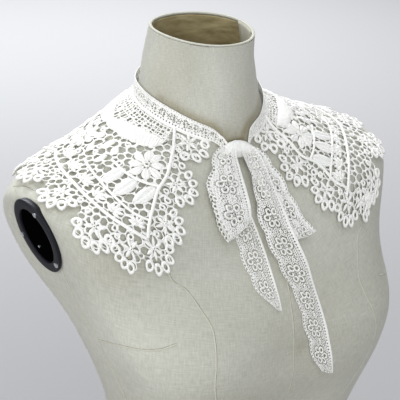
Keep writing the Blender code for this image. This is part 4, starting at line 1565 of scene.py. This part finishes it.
@dataclass
class Bow:
    """The tied ribbon: two loops, two tails and the knot."""

    surface: FormSurface
    knot_place: tuple[float, float, float] = (-8, 5.4, 7.6)
    knot_half: tuple[float, float, float] = (19.5, 7.4, 3.8)
    knot_droop: float = 6.5
    ribbon_width: float = 0.033
    # rows of a ribbon: angle and down of one edge, of the other edge, and the height
    loop_right: tuple = (
        (-25, 3.0, -10, 3.0, 7.6), (-31, 10, -12.5, 8.5, 10.2), (-36.2, 22.6, -15, 19, 10.6),
        (-39.2, 40.6, -15, 33, 10.9), (-40, 55, -14.6, 46, 11.0), (-37.5, 68.6, -14.5, 58.8, 10.5),
        (-33, 85.3, -14.6, 67, 9.3), (-30.4, 94.8, -14.9, 73, 7.4), (-31, 91, -15, 70, 5.8),
        (-34.5, 76, -14.8, 60, 5.5), (-37.5, 55, -15, 46, 5.5), (-34, 32, -14.5, 29, 5.4),
        (-26, 13, -12, 12, 5.2),
    )
    loop_left: tuple = (
        (-3.0, 4.5, 8.5, 5.5, 7.2), (-4.5, 14, 14.8, 12.7, 8.0), (-3, 30, 18.5, 28, 8.4),
        (0, 50, 19.7, 48, 8.8), (4, 76, 19.4, 74, 8.6), (8.5, 93, 21.6, 93, 7.8),
        (10.4, 99, 23.2, 102, 6.3), (8.8, 94, 22, 96, 5.2), (5, 76, 20, 75, 5.0), (1, 52, 20, 50, 4.9),
        (-1, 30, 18, 28, 4.7), (-3, 14, 10, 12.5, 4.4),
    )
    tail_right: tuple = (
        (-17, 13.2, -9, 13.2, 2.9), (-22, 38, -12.5, 36, 1.6), (-23, 64, -11.2, 60, 1.4),
        (-23.3, 88, -9.4, 78, 1.4), (-22.6, 101, -8.0, 97, 1.3), (-19.8, 118, -7.4, 117, 1.3),
        (-17.5, 131, -7.0, 131, 1.4), (-13, 142.5, -6.6, 143, 1.5), (-7.8, 153.5, -6.6, 153, 1.7),
    )
    tail_left: tuple = (
        (-9, 5.5, 5.5, 5.0, 9.6), (-8.8, 15, 9.2, 15, 10.9), (-8.5, 40, 9, 41, 11.0),
        (-10.6, 62, 9.2, 66, 10.8), (-11, 79, 8.9, 84, 10.2), (-8.4, 96, 9.6, 102, 8.6),
        (-5.4, 113, 11.2, 120, 5.6), (-1.8, 130, 12, 139, 3.0), (1.2, 148, 12.8, 157, 1.9),
        (2.6, 168, 13.8, 178, 1.5), (4.6, 187, 14.5, 197, 2.0), (6.5, 206, 15.2, 215, 4.2),
        (11, 222, 16, 229, 6.4),
    )

    def ribbons(self) -> Iterator[LaceRibbon]:
        """The four ribbon pieces.

        Returns:
            The ribbons, one by one.
        """
        close, opened = GalloonPattern(bar=2), GalloonPattern()
        table = (
            # name, node, pattern, rows, scalloped edge at the left, length in metres, held, ripple, pleats
            ("ribbon_loop_right", "bow_loop_right", close, self.loop_right, True, 0.17, "folded", 0.4, -0.5),
            ("ribbon_loop_left", "bow_loop_left", close, self.loop_left, False, 0.18, "folded", 0.3, -0.4),
            ("ribbon_tail_right", "tie_tail_right", opened, self.tail_right, True, 0.15, "hung", 0.3, 0.3),
            ("ribbon_tail_left", "tie_tail_left", opened, self.tail_left, True, 0.23, "hung", 0.6, 0.5),
        )
        for name, node, pattern, rows, left, length, held, ripple, pleats in table:
            size = (self.ribbon_width, length)
            yield LaceRibbon(self.surface, pattern, name, node, rows, left, size, held, ripple, pleats=pleats)

    def knot(self, look: Material) -> None:
        """The knot, a creased wrap of the ribbon over the gathered loops.

        Args:
            look: The cotton material.
        """
        angle, down, height = self.knot_place
        spot = self.surface.place(np.array(angle), np.array(down), np.array(height))
        out = self.surface.read(self.surface.facings, np.array(angle), np.array(down))
        side = self.surface.place(np.array(angle + 1.0), np.array(down), np.array(height)) - spot
        side -= out * (side @ out)
        side /= np.linalg.norm(side)
        below = np.cross(side, out)
        if below[2] > 0:
            below = -below
        lats, lons = np.linspace(-80, 80, 81), np.arange(90) * 2 * math.pi / 90
        half_across, half_down, half_out = self.knot_half
        draft = Draft()
        points = []
        for lat in np.radians(lats):
            squash = math.cos(lat) ** 0.6
            for lon in lons:
                crease = 1 + 0.07 * math.cos(5 * lon + 2.6 * lat)
                crease += 0.03 * math.cos(17 * lat + 9 * math.sin(lon))
                crease -= 0.14 * max(0.0, math.cos(55 * math.sin(lat)) * math.cos(19 * lon)) * squash
                drop = half_down * squash * math.cos(lon) * crease + self.knot_droop * math.sin(lat) ** 2
                points.append(
                    spot
                    + side * half_across * math.sin(lat)
                    + below * drop
                    + out * half_out * squash * math.sin(lon) * crease
                )
        numbers = rows_of(len(lats), len(lons))
        draft.add(np.array(points), loft(numbers) + [tuple(numbers[0]), tuple(numbers[-1])])
        made = draft.build("ribbon_knot", look)
        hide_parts("bow_knot")

    def build(self, look: Material) -> None:
        """Make the whole bow.

        Args:
            look: The cotton material.
        """
        for ribbon in self.ribbons():
            ribbon.build(look)
        self.knot(look)


@dataclass
class NeckBand:
    """The standing lace band round the neck."""

    surface: FormSurface
    edges: tuple = (
        # degrees from the knot, top edge, bottom edge
        (11.5, 0.5, 9.5), (15, -5, 6.0), (20, -9, 2.0), (24, -11, 0.4), (30, -12, 0.6),
        (60, -13.5, 0.8), (180, -14, 0.8),
    )
    end_rise: float = 4.6

    def rows(self) -> tuple:
        """Rows round the neck: top angle and down, bottom angle and down, height.

        Returns:
            The rows.
        """
        table = np.array(self.edges, float)
        away = np.concatenate([[11.5, 13, 15, 17, 20, 25], np.arange(30, 181, 6.0)])
        turns = np.concatenate([-away, -(360 - away[::-1])[1:]])
        made = []
        for turn in turns:
            gone = min(abs(turn), 360 - abs(turn))
            top, bottom = (float(np.interp(gone, table[:, 0], table[:, k])) for k in (1, 2))
            rise = 1.9 + self.end_rise * float(np.clip((19 - gone) / 8, 0, 1))
            made.append((turn + WORN_TURN, top, turn + WORN_TURN, bottom, rise))
        return tuple(made)

    def build(self, look: Material) -> None:
        """Make the band.

        Args:
            look: The cotton material.
        """
        pattern = GalloonPattern(
            width=15.0,
            cell=0.55,
            scallop_pitch=10.0,
            scallop_depth=0.0,
            edge_band=2.0,
            straight_band=1.8,
            eyelet_pitch=2.6,
            picot=0.0,
            flowers=((0.5, 0.0, 0.95), (0.5, 0.5, 0.55)),
            net_pitch=3,
            bar=2,
            grain=0.35,
        )
        LaceRibbon(
            self.surface,
            pattern,
            "lace_neck_band",
            "neck_band",
            self.rows(),
            scalloped_left=True,
            flat_size=(0.33, 0.016),
            held="stretched",
            ripple=0.25,
            thickness=0.2,
            lean=1.5,
        ).build(look)


@dataclass
class DressForm:
    """The linen-covered torso form with its open neck and arm plates."""

    surface: FormSurface
    segments: int = 240
    shoulder_seam: tuple = ((96, 2.4), (93, 3.4), (90, 4.3), (89, 4.68), (94, 4.81), (98.8, 5.08))
    neck_wall: float = 2.8
    well_station: float = 1.6
    strip_angle: float = 80.0
    strip_width: float = 29.0
    stains_and_shadows: tuple = (
        # angle, distance down, reach in mm, strength: the first is the painted shadow beside the left tail's
        # lifted end, the next three mix browning of the old linen with painted shade just above the band, the
        # last mixes browning with painted shade below the right half's hem
        (1.8, 192, 8, 0.3), (-10, -2.5, 8, 0.5), (-16, -6, 8, 0.5), (-4, -3, 8, 0.5), (-62, 150, 22, 0.14),
    )
    # how dark the line along the band's upper edge is: painted shade mixed with browning
    band_shade: float = 0.85
    seam_lines: tuple = (
        # angle and station along each seam that both sides have
        ((51, 5.2), (48.8, 6.08), (43.5, 6.34), (39, 6.69), (35.2, 7.06), (34.2, 7.45), (34.2, 7.84),
         (34.5, 8.41), (33, 9.2), (29, 10), (27, 11), (29, 12), (32, 13)),
        ((72, 8.0), (62, 7.75), (55.2, 7.65), (50, 7.56), (45.5, 7.41)),
        ((80.8, 6.76), (77.2, 7.56), (72, 8.0), (70.5, 8.35), (65, 9.08), (63, 10), (62, 11), (64, 12),
         (66, 13)),
        ((150, 4.2), (148, 6), (149, 8), (152, 10), (150, 13)),
    )

    @staticmethod
    def moved_in(points: np.ndarray, inward: float) -> np.ndarray:
        """Points moved some way towards the form's upright axis.

        Args:
            points: The points.
            inward: How far they move.

        Returns:
            The moved points.
        """
        flat = np.hypot(points[..., 0], points[..., 1])[..., None]
        share = (flat - inward) / flat
        return points * np.concatenate([share, share, np.ones_like(share)], -1)

    def ring(self, t: float, inward: float = 0.0) -> np.ndarray:
        """Points round the form at a station, moved in by a wall."""
        angles = np.arange(self.segments) * 360.0 / self.segments - 180.0
        return self.moved_in(self.surface.point(angles, np.full(self.segments, t)), inward)

    def cover(self, look: Material) -> None:
        """The outer skin from the neck's rim to the flat base, and the lining of the open neck.

        Args:
            look: The linen material.
        """
        stations = np.concatenate([np.arange(0, 9.0, 0.05), np.arange(9.0, 13.01, 0.08)])
        stations[-1] = self.surface.last_station
        draft = Draft()
        rim = [(self.neck_wall, 0.0), (2.5, 0.25), (2.0, 0.55), (1.4, 0.7), (0.7, 0.45)]
        rings = [self.ring(0.0, wall) + (0, 0, rise - 0.7) for wall, rise in rim]
        rings += [self.ring(float(t)) for t in stations]
        rings[len(rim)] = rings[len(rim)] - (0, 0, 0.8)
        base = rings[-1]
        rings += [base * (0.985, 0.985, 1), base * (0.5, 0.5, 1)]
        numbers = rows_of(len(rings), self.segments)
        inner = [self.ring(0.0, self.neck_wall) - (0, 0, 3.0)]
        for t in np.linspace(0.1, self.well_station, 12):
            inner.append(self.ring(float(t), self.neck_wall))
        floor = inner[-1]
        inner.append(floor * (0.5, 0.5, 0) + (0, 0, float(floor[:, 2].mean())))
        faces = loft(numbers) + [tuple(numbers[-1])]
        draft.add(np.concatenate(rings), faces)
        made = draft.build("form_cover", look)
        self.cloth_map(made, len(rings))
        self.brown(made)
        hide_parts("form_torso", "form_neck")
        well = Draft()
        inner_numbers = rows_of(len(inner), self.segments)
        well.add(np.concatenate(inner), loft(inner_numbers) + [tuple(inner_numbers[-1])])
        lining = well.build("form_neck_well", BoardFinish().build())
        for polygon in lining.data.polygons:
            centre = polygon.center
            if polygon.normal.x * centre.x + polygon.normal.y * centre.y > 0.0001:
                lining.data.flip_normals()
                break
        self.strip()

    def strip(self) -> None:
        """The cover's overlap, turned in and glued down the inside of the neck."""
        across, down, neck_radius = 7, 9, 44.0
        spread = math.degrees(self.strip_width / neck_radius)
        turns = self.strip_angle + np.linspace(-0.5, 0.5, across) * spread
        grid = self.surface.point(*np.meshgrid(turns, np.linspace(0.02, self.well_station - 0.05, down)))
        layers = [self.moved_in(grid, self.neck_wall + more).reshape(-1, 3) for more in (-0.6, 0.7)]
        outer, inner = rows_of(down, across), rows_of(down, across, down * across)
        sides = loft([rim_of(outer), rim_of(inner)])
        draft = Draft()
        draft.add(np.concatenate(layers), loft(outer, closed=False) + loft(inner, closed=False) + sides)
        draft.build("form_neck_overlap", SeamFinish().build())

    def brown(self, made: bpy.types.Object) -> None:
        """Mark where the linen is darkened brown: old browning mixed with painted shade along the lace band's
        upper edge and in patches, and a painted shadow beside the left tail's end.

        Args:
            made: The cover.
        """
        spots = list(self.stains_and_shadows)
        edge = np.array(NeckBand(self.surface).edges, float)
        # painted shade along the band's upper edge, where the band stands off the neck, mixed with browning
        # of the linen there
        for turn in range(-78, 79, 3):
            down = float(np.interp(abs(turn), edge[:, 0], edge[:, 1]))
            spots.append((turn + WORN_TURN, down - 1.6, 4.8, self.band_shade * (1.0 - 0.006 * abs(turn))))
        # how much browning and painted shade each point of the cover gets, kept as a point attribute for the
        # linen
        points = np.zeros(len(made.data.vertices) * 3)
        made.data.vertices.foreach_get("co", points)
        points = points.reshape(-1, 3) / MM - (0, 0, BASE_DROP)
        amount = np.zeros(len(points))
        for angle, down, reach, strength in spots:
            spot = self.surface.place(np.array(float(angle)), np.array(float(down)), np.array(0.0))
            amount = np.maximum(amount, strength * np.exp(-(((points - spot) ** 2).sum(-1)) / reach**2))
        made.data.attributes.new("stain_and_shade", "FLOAT", "POINT").data.foreach_set("value", amount)

    def cloth_map(self, made: bpy.types.Object, rings: int) -> None:
        """Give the cover a UV map in metres, round and down its own surface.

        Args:
            made: The cover.
            rings: How many rings of points it has.
        """
        mesh = made.data
        points = np.zeros(len(mesh.vertices) * 3)
        mesh.vertices.foreach_get("co", points)
        points = points.reshape(rings, self.segments, 3)
        down = np.concatenate([[0], np.cumsum(np.linalg.norm(np.diff(points, axis=0), axis=-1).mean(1))])
        layer = mesh.uv_layers.new(name="cloth")
        mean_radius = 0.12
        for polygon in mesh.polygons:
            spots = [divmod(mesh.loops[loop].vertex_index, self.segments) for loop in polygon.loop_indices]
            closes = any(column > self.segments - 3 for _, column in spots)
            for loop, (row, column) in zip(polygon.loop_indices, spots):
                turn = 2 * math.pi * (1 if closes and column == 0 else column / self.segments)
                layer.data[loop].uv = (turn * mean_radius, -float(down[row]))

    def seams(self, look: Material) -> None:
        """The sewn lines of the cover, with thin dark strands beside them that paint the seams' shade.

        Args:
            look: The tape's material.
        """
        lines = [((-0.5, 3.0), (-0.5, 5.95), (-1.2, 6.54), (-1.2, 7.8), (-1.2, 9), (-1.2, 11), (-1.2, 13))]
        lines.append(((180, 2.0), (180, 6.0), (180, 9.0), (180, 13.0)))
        for way in (-1, 1):
            lines += [[(way * a, t) for a, t in line] for line in self.seam_lines]
        draft, shadows = Draft(), Draft()
        for line in lines:
            rows = np.array(line, float)
            path = between(rows, np.linspace(0, len(rows) - 1, 30 * (len(rows) - 1) + 1))
            points = self.surface.point(path[:, 0], path[:, 1])
            out = self.surface.outward(path[:, 0], path[:, 1])
            draft.add(*strand(points - out * 0.3, out, 1.4, 0.75, 8))
            # a thin dark strand beside each seam: painted shade of the raised seam
            beside = np.cross(out, np.gradient(points, axis=0))
            beside /= np.linalg.norm(beside, axis=-1, keepdims=True)
            shadows.add(*strand(points - out * 0.2 + beside * 0.85, out, 0.45, 0.3, 6))
        rim = self.ring(0.0, 1.35)
        rim = np.vstack([rim, rim[:2]]) - (0, 0, 0.7)
        draft.add(*strand(rim, np.broadcast_to((0.0, 0.0, 1.0), rim.shape), 3.0, 1.7, 10))
        # a thin dark strand along each shoulder seam, in the same dark material
        rows = np.array(self.shoulder_seam, float)
        path = between(rows, np.linspace(0, len(rows) - 1, 90))
        for way in (-1, 1):
            points = self.surface.point(path[:, 0] * way, path[:, 1])
            out = self.surface.outward(path[:, 0] * way, path[:, 1])
            shadows.add(*strand(points - out * 0.2, out, 0.7, 0.4, 6))
        # the dark brown of the strands: painted shade beside the seams, and the shoulder seam lines
        stitch_shade_look = StitchShadeFinish().build()
        made_of = {"form_seams": (draft, look), "form_seam_stitches": (shadows, stitch_shade_look)}
        for name, (gathered, finish) in made_of.items():
            made = gathered.build(name, finish)

    def plates(self) -> None:
        """The oval arm plates with their screws."""
        ring_look = MouldedFinish("charcoal_plate", (0.006, 0.006, 0.009), 0.5, 0.25).build()
        # painted shade: the socket's near-black colour stands for the dark inside of the open arm hole
        socket_shade_look = MouldedFinish("socket_painted_shade", (0.0008, 0.0008, 0.0008), 0.8, 0.0).build()
        screw_look = SteelFinish().build()
        for side in Side:
            ArmPlate(self.surface, side).build(ring_look, socket_shade_look, screw_look)

    def build(self, look: Material) -> None:
        """Make the form.

        Args:
            look: The linen material.
        """
        self.cover(look)
        self.seams(SeamFinish().build())
        self.plates()


@dataclass
class ArmPlate:
    """An oval plate over the end of a shoulder, with a shallow socket painted near-black as the shade inside
    the open arm hole.
    """

    surface: FormSurface
    side: Side
    half_width: float = 26.6
    half_height: float = 34.8
    segments: int = 96
    turn: float = 0.32
    across: float = 1.2
    raised: tuple[float, float] = (2.2, -4.5)
    screws_at: tuple = (
        # turn, share of the plate's size, height, radius
        (41.5, 0.87, 1.7, 2.2),
        (175.0, 0.86, 1.7, 2.3),
        (299.0, 0.89, 1.7, 2.4),
        (228.0, 0.40, -0.4, 1.1),
    )

    def axes(self) -> tuple[np.ndarray, np.ndarray, np.ndarray, np.ndarray]:
        """The plate's centre and its directions: wide, tall and outward.

        Returns:
            The centre and the three directions.
        """
        facing = self.surface.facing(self.side)
        centre = np.array(self.surface.plate_centre) * (self.side.value, 1, 1)
        up = np.array([0, 0, 1.0]) - facing * facing[2]
        up /= np.linalg.norm(up)
        wide = np.cross(up, facing)
        turn = self.turn * self.side.value
        return (
            centre + wide * self.across * self.side.value + up * self.raised[self.side is Side.LEFT],
            wide * math.cos(turn) - up * math.sin(turn),
            up * math.cos(turn) + wide * math.sin(turn),
            facing,
        )

    def oval(self, share: float, height: float, less: float = 0.0) -> np.ndarray:
        """Points round the plate's outline at a share of its size, made less by a gap, and at a height.

        Args:
            share: The share of the plate's size.
            height: The height above the plate's foot.
            less: How much smaller it is all round.

        Returns:
            The points.
        """
        centre, wide, tall, facing = self.axes()
        turn = np.arange(self.segments)[:, None] * 2 * math.pi / self.segments
        a, b = self.half_width * share - less, self.half_height * share - less
        return centre + wide * a * np.cos(turn) + tall * b * np.sin(turn) + facing * height

    def build(self, ring_look: Material, socket_shade_look: Material, screw_look: Material) -> None:
        """Make the plate, its socket and screws.

        Args:
            ring_look: The ring's material.
            socket_shade_look: The socket's material.
            screw_look: The screws' material.
        """
        word = self.side.word
        profile = (
            # share of the plate's size, height
            (0.96, -5.0), (1.00, 0.2), (0.995, 0.8), (0.98, 1.2), (0.96, 1.35), (0.77, 1.4), (0.755, 1.3),
            (0.745, 0.9), (0.74, 0.2), (0.74, -2.2),
        )
        draft = Draft()
        numbers = rows_of(len(profile), self.segments)
        draft.add(np.concatenate([self.oval(s, h) for s, h in profile]), loft(numbers + [numbers[0]]))
        plate = draft.build(f"arm_plate_ring_{word}", ring_look)
        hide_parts(f"arm_plate_{word}")
        # a shallow cap painted near-black, standing for the shade inside the open arm hole
        socket = Draft()
        levels = [(0.74, -2.6), (0.74, -0.7), (0.70, -0.9), (0.3, -1.0)]
        numbers = rows_of(len(levels), self.segments)
        points = np.concatenate([self.oval(s, h, less=0.4) for s, h in levels])
        socket.add(points, loft(numbers) + [tuple(numbers[-1]), tuple(numbers[0])])
        hole = socket.build(f"arm_socket_{word}", socket_shade_look)
        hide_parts(f"arm_hole_{word}")
        self.screws(word, screw_look)

    def screws(self, word: str, look: Material) -> None:
        """The plate's round-headed screws, each with a raised step and a round recess in its top, shaped with
        mesh operators.

        Args:
            word: The side's name in piece names.
            look: The screws' material.
        """
        centre, wide, tall, facing = self.axes()
        heads = []
        for number, (degrees, share, height, radius) in enumerate(self.screws_at):
            way = math.radians(degrees)
            spot = (
                centre
                - wide * self.half_width * share * math.cos(way) * self.side.value
                + tall * self.half_height * share * math.sin(way)
                + facing * height
            )
            bpy.ops.object.select_all(action="DESELECT")
            bpy.ops.mesh.primitive_cylinder_add(vertices=20, radius=radius * MM, depth=1.4 * MM)
            head = bpy.context.object
            bpy.ops.object.mode_set(mode="EDIT")
            shape = bmesh.from_edit_mesh(head.data)
            for face in shape.faces:
                face.select = face.normal.z > 0.9
            shape.select_flush_mode()
            bmesh.update_edit_mesh(head.data)
            bpy.ops.mesh.inset(thickness=0.28 * radius * MM)
            bpy.ops.transform.translate(value=(0, 0, 0.5 * MM))
            bpy.ops.mesh.inset(thickness=0.24 * radius * MM)
            bpy.ops.mesh.extrude_region_move(TRANSFORM_OT_translate={"value": (0, 0, -0.8 * MM)})
            bpy.ops.object.mode_set(mode="OBJECT")
            way_up = Vector(facing).to_track_quat("Z", "Y")
            head.rotation_mode = "QUATERNION"
            head.rotation_quaternion = way_up
            head.location = Vector((spot + (0, 0, BASE_DROP)) * MM)
            bpy.ops.object.transform_apply(location=True, rotation=True, scale=True)
            head.data.materials.append(look)
            head.name = f"arm_plate_screw_{word}_{number + 1}"
            heads.append(head)
        for head in heads:
            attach(head, "root")


@dataclass
class Studio:
    """The floor, the world, the lights and the camera."""

    azimuth: float = -37.4
    elevation: float = 19.8
    distance: float = 1062.0
    look: tuple[float, float, float] = (-36.0, -40.0, -77.3)
    lens: float = 108.0
    # the world's strength, what the camera sees on top of it, and its colour
    sky: float = 0.28
    seen_sky: float = 0.35
    air: Colour = (0.94, 0.98, 1.05)
    # the lamps' colour, then the floor's colour and its width in metres
    lamp: Colour = (0.95, 0.98, 1.04)
    paper: Colour = (0.265, 0.259, 0.252)
    floor_size: float = 26.0
    lights: tuple = (
        # name, place, aimed at, size, watts
        ("top", (-0.15, -0.35, 2.3), (0, 0, 0.5), 1.1, 8.0),
        ("left", (-1.8, 0.2, 1.1), (0, 0, 0.4), 1.0, 16.0),
        ("front", (-0.7, -1.7, 1.9), (0, 0, 0.45), 0.9, 10.0),
        ("low", (-1.5, -2.4, 0.8), (0, 0, 0.35), 1.1, 35.0),
        ("right", (1.6, -0.7, 1.4), (0, 0, 0.4), 1.0, 4.0),
        ("backdrop", (1.2, 2.9, 2.9), (1.5, 3.0, 0), 2.6, 320.0),
    )

    def camera(self) -> None:
        """The camera at the photograph's angle."""
        a, e = math.radians(self.azimuth), math.radians(self.elevation)
        back = Vector((math.sin(a) * math.cos(e), -math.cos(a) * math.cos(e), math.sin(e)))
        target = Vector(self.look) + Vector((0, 0, BASE_DROP))
        data = bpy.data.cameras.new("camera")
        data.lens, data.sensor_width, data.sensor_height, data.sensor_fit = self.lens, 36.0, 36.0, "AUTO"
        data.clip_end = 20.0
        made = bpy.data.objects.new("camera", data)
        bpy.context.scene.collection.objects.link(made)
        made.location = (target + back * self.distance) * MM
        made.rotation_euler = (-back).to_track_quat("-Z", "Y").to_euler()
        bpy.context.scene.camera = made

    def area(self, name: str, place: tuple, target: tuple, size: float, power: float) -> None:
        """A soft square light, from a place towards a target, in metres.

        Args:
            name: The light's name.
            place: Where it is.
            target: What it points at.
            size: Its width.
            power: Its watts.
        """
        data = bpy.data.lights.new(name, "AREA")
        data.size, data.energy, data.color = size, power, self.lamp
        made = bpy.data.objects.new(name, data)
        bpy.context.scene.collection.objects.link(made)
        made.location = place
        made.rotation_euler = (Vector(target) - Vector(place)).to_track_quat("-Z", "Y").to_euler()

    def floor(self) -> None:
        """A plain pale floor that is wide enough to fill every view."""
        made, _, shader = new_material("studio_paper")
        shader.inputs["Base Color"].default_value = (*self.paper, 1)
        shader.inputs["Roughness"].default_value = 0.95
        bpy.ops.object.select_all(action="DESELECT")
        bpy.ops.mesh.primitive_grid_add(x_subdivisions=2, y_subdivisions=2, size=self.floor_size)
        sheet = bpy.context.object
        sheet.name = "floor"
        bpy.ops.object.transform_apply(location=True, rotation=True, scale=True)
        sheet.data.materials.append(made)

    def build(self) -> None:
        """Make the studio."""
        self.floor()
        world = bpy.data.worlds.new("studio")
        world.use_nodes = True
        tree = world.node_tree
        background = tree.nodes["Background"]
        background.inputs["Color"].default_value = (*self.air, 1)
        seen = tree.nodes.new("ShaderNodeLightPath")
        more = math_node(tree, "MULTIPLY", seen.outputs["Is Camera Ray"], self.seen_sky)
        tree.links.new(math_node(tree, "ADD", more, self.sky), background.inputs["Strength"])
        bpy.context.scene.world = world
        bpy.context.scene.view_settings.view_transform = "Standard"
        for name, place, target, size, power in self.lights:
            self.area(name, place, target, size, power)
        self.camera()


def main() -> None:
    """Build the studio, the form and the lace, and report each piece."""
    logging.basicConfig(level=logging.INFO, format="%(message)s")
    surface = FormSurface()
    Studio().build()
    linen = LinenFinish().build()
    cotton = CottonFinish().build()
    DressForm(surface).build(linen)
    for side in Side:
        CapeHalf(surface, side).build(cotton)
    NeckBand(surface).build(cotton)
    Bow(surface).build(cotton)


if __name__ == "__main__":
    main()
